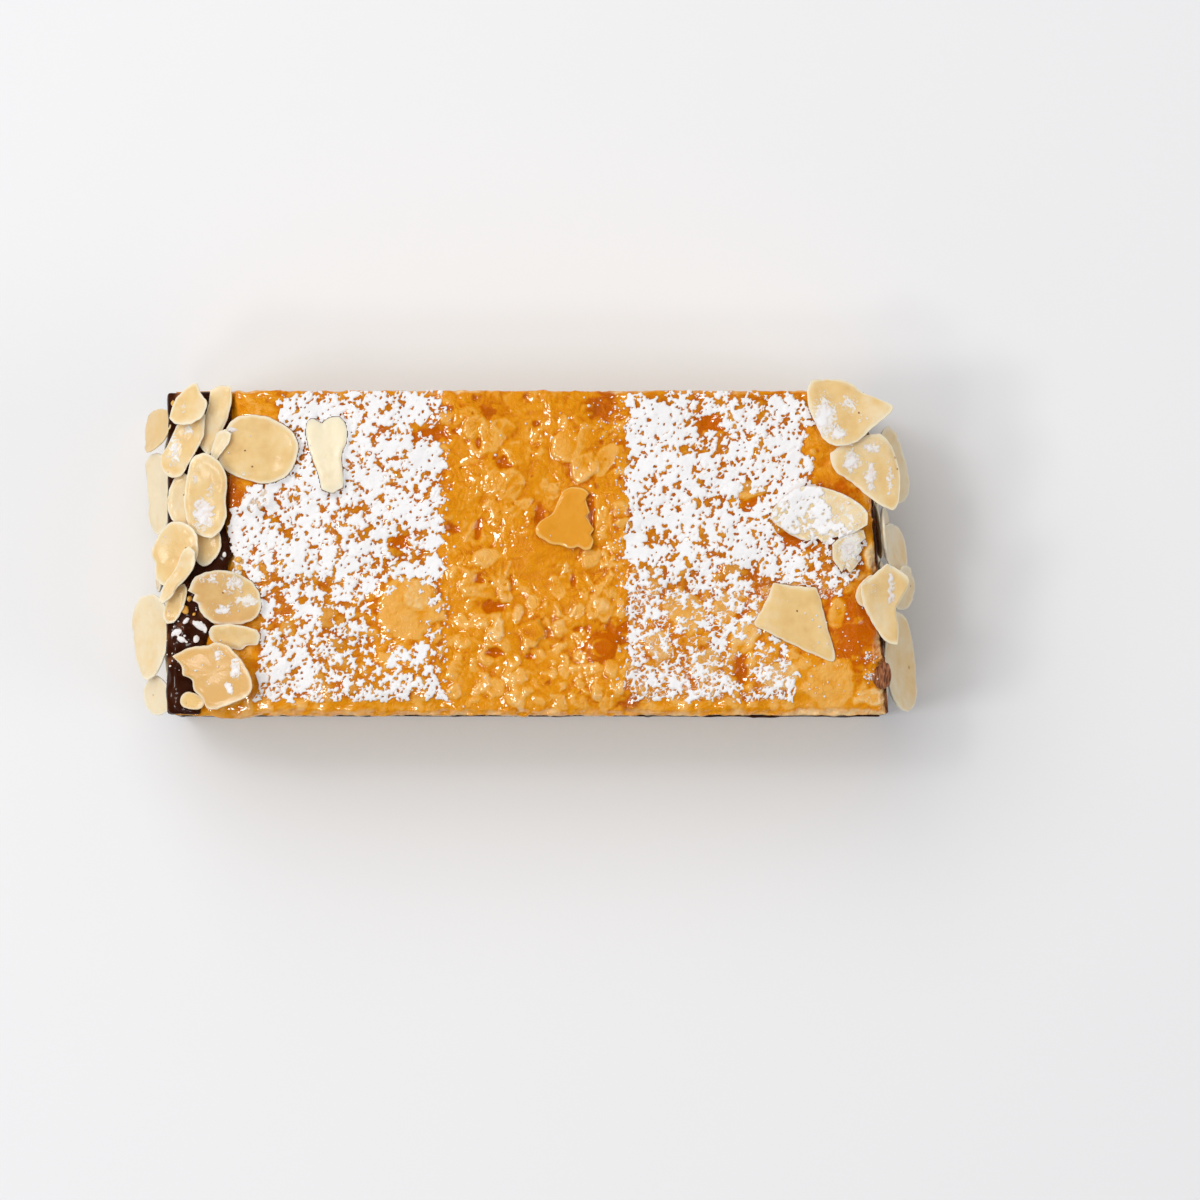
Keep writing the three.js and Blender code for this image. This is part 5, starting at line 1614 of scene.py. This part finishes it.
def makeBits(name, bits, slotName, material, lifted, **marks):
    # lifted: how far the middle of each stands over what it lies on, as a share of its height
    tree = surfaceTree(["pralineCrust", "chocolateCoatLeft", *topFlakes])
    heap = Heap()
    for k, (x, y, size, flatness) in enumerate(bits):
        height = heightAt(tree, x, y)
        if height < topStarts:
            continue
        shape, faces = bitShape(size, flatness, k + 1)
        heap.add(shape + (x, y, height + size * flatness * lifted), faces, **marks)
    heap.piece(name, [], slotName, material)
    print(name + ":", len(bits))


makeBits("nutBits", nutBits, "glazed_almond", glazedAlmond, 0.2, edge=0.5)
makeBits("skinSpecks", [(x, y, 0.34, 0.5) for x, y in skinSpecks], "almond_skin", almondSkin, 0.05)


# Icing sugar: one crust with holes, which lies over the praline and the flakes.

sugarPlan = {
    "cell": 0.186,
    "buried": "almondFlake_top_17",  # the one flake that the band of sugar covers
    "thick": 0.30,
    "bankedUp": 0.05,  # how far the sugar's level stays under what it leans on
    "steepest": 2.3,  # it slides off anything steeper, as rise over run
    "onFlakes": 0.45,  # how thick it is there, against the praline
    "specks": 120,
    "speckFloor": 33,  # no speck lies lower than this
    "seed": 7,
}

# Clots of sugar that lie on the chocolate at the left: middle, half sizes, turn in degrees.
sugarClots = [
    (-56.8, -11.5, 0.7, 0.45, 40), (-54.4, -12.2, 1.2, 0.6, -40), (-53.3, -13.2, 0.7, 0.4, -50),
    (-58.3, -13.4, 0.8, 0.5, 20), (-57.3, -14.6, 0.8, 0.45, -20), (-54.9, -14.5, 0.7, 0.5, 50),
    (-56.0, -18.6, 0.35, 0.2, 0), (-55.9, -16.9, 0.3, 0.2, 60), (-50.2, -0.2, 0.5, 0.3, 80),
    (-59.4, -19.0, 0.3, 0.2, 10),
]


def spikyBlots(p, cell, seed):
    # star-like blots scattered over a plane: how far inside the nearest one each point is
    base = np.floor(p / cell)
    best = np.full(p.shape[:-1], -9.0)
    for step in itertools.product((-1, 0, 1), (-1, 0, 1), (0,)):
        at = base + step
        chance = [scatter(at, seed + k) for k in range(6)]
        dx = p[..., 0] - (at[..., 0] + chance[0]) * cell
        dy = p[..., 1] - (at[..., 1] + chance[1]) * cell
        arms = 3 + np.floor(chance[2] * 4)
        lobes = np.abs(np.cos(0.5 * arms * np.arctan2(dy, dx) + 6.28 * chance[3])) ** 1.5
        reach = cell * (0.26 + 0.30 * chance[4])
        best = np.maximum(best, reach * (0.76 + 0.50 * lobes) - np.hypot(dx, dy))
    return best


def sugarField(x, y):
    # feathery blots of three sizes, bent a little, with fine holes pricked through them
    p = flat(x, y)
    q = flat(x + 0.34 * layeredNoise(p, 1.3, 3, 111), y + 0.34 * layeredNoise(p, 1.3, 3, 115))
    lacy = smoothStep(0, -8, y) * np.where(x > 0, 0.6, 0.2)
    blots = spikyBlots(q, 2.5, 121) - 0.08 - 0.35 * lacy
    blots = np.maximum(blots, spikyBlots(q, 1.5, 131) - 0.06 - 0.10 * lacy)
    blots = np.maximum(blots, spikyBlots(q, 0.9, 141) - 0.10)
    strokes = layeredNoise(flat(x + 0.8 * y, 2.2 * (y - 0.8 * x)), 1.3, 2, 157)
    web = 0.34 - 1.5 * np.abs(layeredNoise(flat(x + 0.5 * y, 1.3 * y), 1.1, 2, 163)) - 0.6 * (0.6 - lacy)
    blots = np.where(lacy > 0.05, np.maximum(blots - 0.10 * lacy, web), blots)
    field = blots + 0.16 * softNoise(p, 3.0, 151) + 0.15 * layeredNoise(q, 0.55, 2, 153)
    field = field + 0.20 * lacy * strokes
    pricks, number = nearestDot(q, 1.15, 155, deep=(0,))
    return field - 1.2 * (number > 0.3) * np.exp(-(pricks / (0.10 + 0.10 * number)) ** 2)


def widened(grid, steps):  # each value spreads over the lower ones beside it
    for _ in range(steps):
        grid = np.maximum.reduce([grid, *[np.roll(grid, s, a) for s in (-1, 1) for a in (0, 1)]])
    return grid


def clippedFaces(mask, points):
    # the part of a grid where mask is above zero, its edge drawn through the faces
    rows, across = mask.shape
    at = np.arange(rows * across).reshape(rows, across)
    flatMask = mask.ravel()
    out = list(points)
    faces = []
    cuts = {}

    def cut(a, b):
        key = (a, b) if a < b else (b, a)
        if key not in cuts:
            t = flatMask[key[0]] / (flatMask[key[0]] - flatMask[key[1]])
            out.append(out[key[0]] * (1 - t) + out[key[1]] * t)
            cuts[key] = len(out) - 1
        return cuts[key]

    some = mask > 0
    used = some[:-1, :-1] | some[1:, :-1] | some[:-1, 1:] | some[1:, 1:]
    for j, i in zip(*np.nonzero(used)):
        a, b, c, d = at[j, i], at[j, i + 1], at[j + 1, i + 1], at[j + 1, i]
        for tri in ((a, b, c), (a, c, d)):
            poly = []
            for k in range(3):
                p, q = tri[k], tri[(k + 1) % 3]
                if flatMask[p] > 0:
                    poly.append(p)
                if (flatMask[p] > 0) != (flatMask[q] > 0):
                    poly.append(cut(p, q))
            if len(poly) >= 3:
                faces.append(tuple(int(v) for v in poly))
    return np.array(out), faces, len(cuts)


def clotField(x, y):
    best = np.full(x.shape, -1.0)
    rough = 0.35 * softNoise(flat(x, y), 0.5, 161)
    for cx, cy, a, b, turn in sugarClots:
        t = math.radians(turn)
        u = (x - cx) * math.cos(t) + (y - cy) * math.sin(t)
        v = (y - cy) * math.cos(t) - (x - cx) * math.sin(t)
        best = np.maximum(best, (1 + rough - np.hypot(u / a, v / b)) * b)
    return best


def clingingField(x, y):
    # streaks and clots of sugar on the flakes themselves
    amount = clingingAt(np.stack([x.ravel(), y.ravel()], axis=-1)).reshape(x.shape)
    p = flat(x, y)
    streaks = layeredNoise(p, 0.9, 4, 165) + 0.3 * softNoise(flat(x + 0.6 * y, 3 * y - 2 * x), 0.9, 168)
    return np.where(amount > 0.1, 0.35 * (amount + 0.55 * streaks - 0.56), -1.0)


treeUnderSugar = surfaceTree(["pralineCrust", "glazedShard", "chocolateCoatLeft", "almondChip", *topFlakes])


def sugarMask(x, y, onFlake):
    # above zero where sugar lies: the field, cut off where that leaves the wanted cover
    cover = sugarCover(x, y)
    field = sugarField(x, y)
    ranked = np.sort(field.ravel())
    wanted = np.interp(1 - np.clip(cover, 0, 1), np.linspace(0, 1, len(ranked)), ranked)
    mask = np.where(cover > 0.03, field - wanted, -1.0)
    return np.where(onFlake, clingingField(x, y), np.maximum(mask, clotField(x, y)))


def makeSugar():
    cell = sugarPlan["cell"]
    x, y = np.meshgrid(np.arange(-62, 64, cell), np.arange(-26.2, 27.6, cell))
    surface = heightsOver(treeUnderSugar, x, y)
    ground = heightsOver(surfaceTree(["pralineCrust"]), x, y)
    standing = [name for name in ("glazedShard", *topFlakes) if name != sugarPlan["buried"]]
    onFlake = heightsOver(surfaceTree(standing), x, y) > ground + 0.15
    mask = np.where(surface < topStarts, -1.0, sugarMask(x, y, onFlake))
    # sugar banks up against whatever stands proud of the crust
    level = blur(widened(np.maximum(surface, ground), 2), 2) - sugarPlan["bankedUp"]
    level = np.maximum(surface, level)
    steep = np.hypot(*np.gradient(level, cell))
    mask = np.minimum(mask, 0.12 * (sugarPlan["steepest"] - steep))
    rise = 1 - np.exp(-np.maximum(mask, 0) / 0.16)
    lumps = layeredNoise(flat(x, y), 1.6, 3, 171)
    thick = sugarPlan["thick"] * rise * (1 + 0.55 * lumps) * np.where(onFlake, sugarPlan["onFlakes"], 1)
    points = np.stack([x, y, level + thick - 0.03], axis=-1).reshape(-1, 3)
    points, faces, cutCount = clippedFaces(mask, points)
    thin = np.concatenate([np.exp(-np.maximum(mask, 0) / 0.09).ravel(), np.ones(cutCount)])
    used = np.unique(np.concatenate([np.array(f) for f in faces]))
    renumber = np.full(len(points), -1)
    renumber[used] = np.arange(len(used))
    faces = [tuple(int(renumber[v]) for v in f) for f in faces]
    makePiece("icingSugar", points[used], faces, [], icingSugar, {"thin": thin[used]})
    print("icing sugar:", sum(len(f) - 2 for f in faces), "triangles")


makeSugar()

# Loose specks of sugar: how many, then x and y, each spread evenly between two values or round a middle.
speckGroups = [
    (sugarPlan["specks"], ("evenly", -50, 58), ("evenly", -26, 26)),
    (36, ("round", 12.8, 2.0), ("round", 22, 2.4)),
    (90, ("round", 16.2, 0.6), ("evenly", -25, 26)),
    (80, ("round", -12.9, 0.5), ("evenly", -25, 26)),
    (50, ("evenly", 47, 59), ("evenly", -25, -8)),
    (25, ("round", 57.8, 0.6), ("round", -17.5, 0.5)),
    (30, ("round", 58.0, 0.5), ("round", -20.6, 0.6)),
    (30, ("evenly", -60, -50), ("evenly", -20, -8)),
]


def makeSpecks():
    dice = np.random.default_rng(sugarPlan["seed"])
    draw = {"evenly": dice.uniform, "round": dice.normal}
    spots = []
    for count, *axes in speckGroups:
        spots += [[draw[how](a, b) for how, a, b in axes] for _ in range(count)]
    ball, faces = ballShape(3, 6)
    heap = Heap()
    for x, y in spots:
        height = heightAt(treeUnderSugar, x, y)
        if height < sugarPlan["speckFloor"]:
            continue
        size = dice.uniform(0.10, 0.2) * (0.85 + 0.7 * dice.random() ** 3)
        shape = ball * (size * dice.uniform(0.8, 1.3), size * dice.uniform(0.8, 1.3), size * 0.8)
        heap.add(shape + (x, y, height + size * 0.2), faces, thin=dice.uniform(0.2, 0.7))
    heap.piece("sugarSpecks", [], "icing_sugar", icingSugar)
    print("sugar specks:", len(spots))


makeSpecks()


# Floor, light and camera.

stagePlan = {
    "floorColour": (0.85, 0.85, 0.86),
    "floorSize": 6,
    "lights": [  # degrees round from +X and up, size in metres, power, and whether it shows as a glint
        {"name": "window", "round": 132, "up": 60, "size": 1.2, "power": 8.6, "glint": False},
        {"name": "lamp", "round": 195, "up": 56, "size": 0.2, "power": 2.2, "glint": True},
        {"name": "second lamp", "round": 232, "up": 62, "size": 0.14, "power": 1.0, "glint": True},
        {"name": "third lamp", "round": 150, "up": 66, "size": 0.14, "power": 1.1, "glint": True},
        {"name": "fill", "round": 345, "up": 35, "size": 0.6, "power": 1.5, "glint": True},
    ],
    "lightDistance": 1.2,
    "world": 0.335,
    "worldColour": (0.985, 0.985, 1.0),
    "aim": (12.8, -7.95, 36.0),
    "distance": 950.0,
    "tilt": 2.0,
    "lens": 170.0,
}


def makeStage():
    bpy.ops.mesh.primitive_plane_add(size=stagePlan["floorSize"], location=(0, 0, -0.0002))
    floor = bpy.context.object
    floor.name = "floor"
    material, w, shader = newMaterial("paleFloor", Roughness=0.7)
    patches = w.noise(3.0, 2.0)
    colour = stagePlan["floorColour"]
    darker = tuple(c * 0.985 for c in colour)
    w.feed(shader.inputs["Base Color"], w.blend(patches, colour, darker))
    shader.inputs["Specular IOR Level"].default_value = 0.1
    floor.data.materials.append(material)


def makeLights():
    for plan in stagePlan["lights"]:
        light = bpy.data.objects.new(plan["name"], bpy.data.lights.new(plan["name"], "AREA"))
        light.data.shape = "SQUARE"
        light.data.size = plan["size"]
        light.data.energy = plan["power"]
        light.visible_glossy = plan["glint"]
        bpy.context.scene.collection.objects.link(light)
        turn, up = math.radians(plan["round"]), math.radians(plan["up"])
        way = Vector((math.cos(turn) * math.cos(up), math.sin(turn) * math.cos(up), math.sin(up)))
        light.location = way * stagePlan["lightDistance"]
        light.rotation_mode = "QUATERNION"
        light.rotation_quaternion = (-way).to_track_quat("-Z", "Y")
    world = bpy.context.scene.world or bpy.data.worlds.new("world")
    bpy.context.scene.world = world
    world.use_nodes = True
    sky = world.node_tree.nodes["Background"]
    sky.inputs["Color"].default_value = (*stagePlan["worldColour"], 1)
    sky.inputs["Strength"].default_value = stagePlan["world"]
    world.cycles_visibility.glossy = False


def makeCamera():
    tilt = math.radians(stagePlan["tilt"])
    target = Vector(stagePlan["aim"]) * mm
    back = Vector((0, -math.sin(tilt), math.cos(tilt)))
    camera = bpy.data.objects.new("camera", bpy.data.cameras.new("camera"))
    bpy.context.scene.collection.objects.link(camera)
    camera.data.sensor_width = 36
    camera.data.lens = stagePlan["lens"]
    camera.location = target + back * stagePlan["distance"] * mm
    camera.rotation_mode = "QUATERNION"
    camera.rotation_quaternion = (-back).to_track_quat("-Z", "Y")
    camera.data.clip_start = 0.01
    camera.data.clip_end = 10
    bpy.context.scene.camera = camera


makeStage()
makeLights()
makeCamera()
bpy.context.scene.view_settings.view_transform = "Standard"
print("floor, light and camera set")
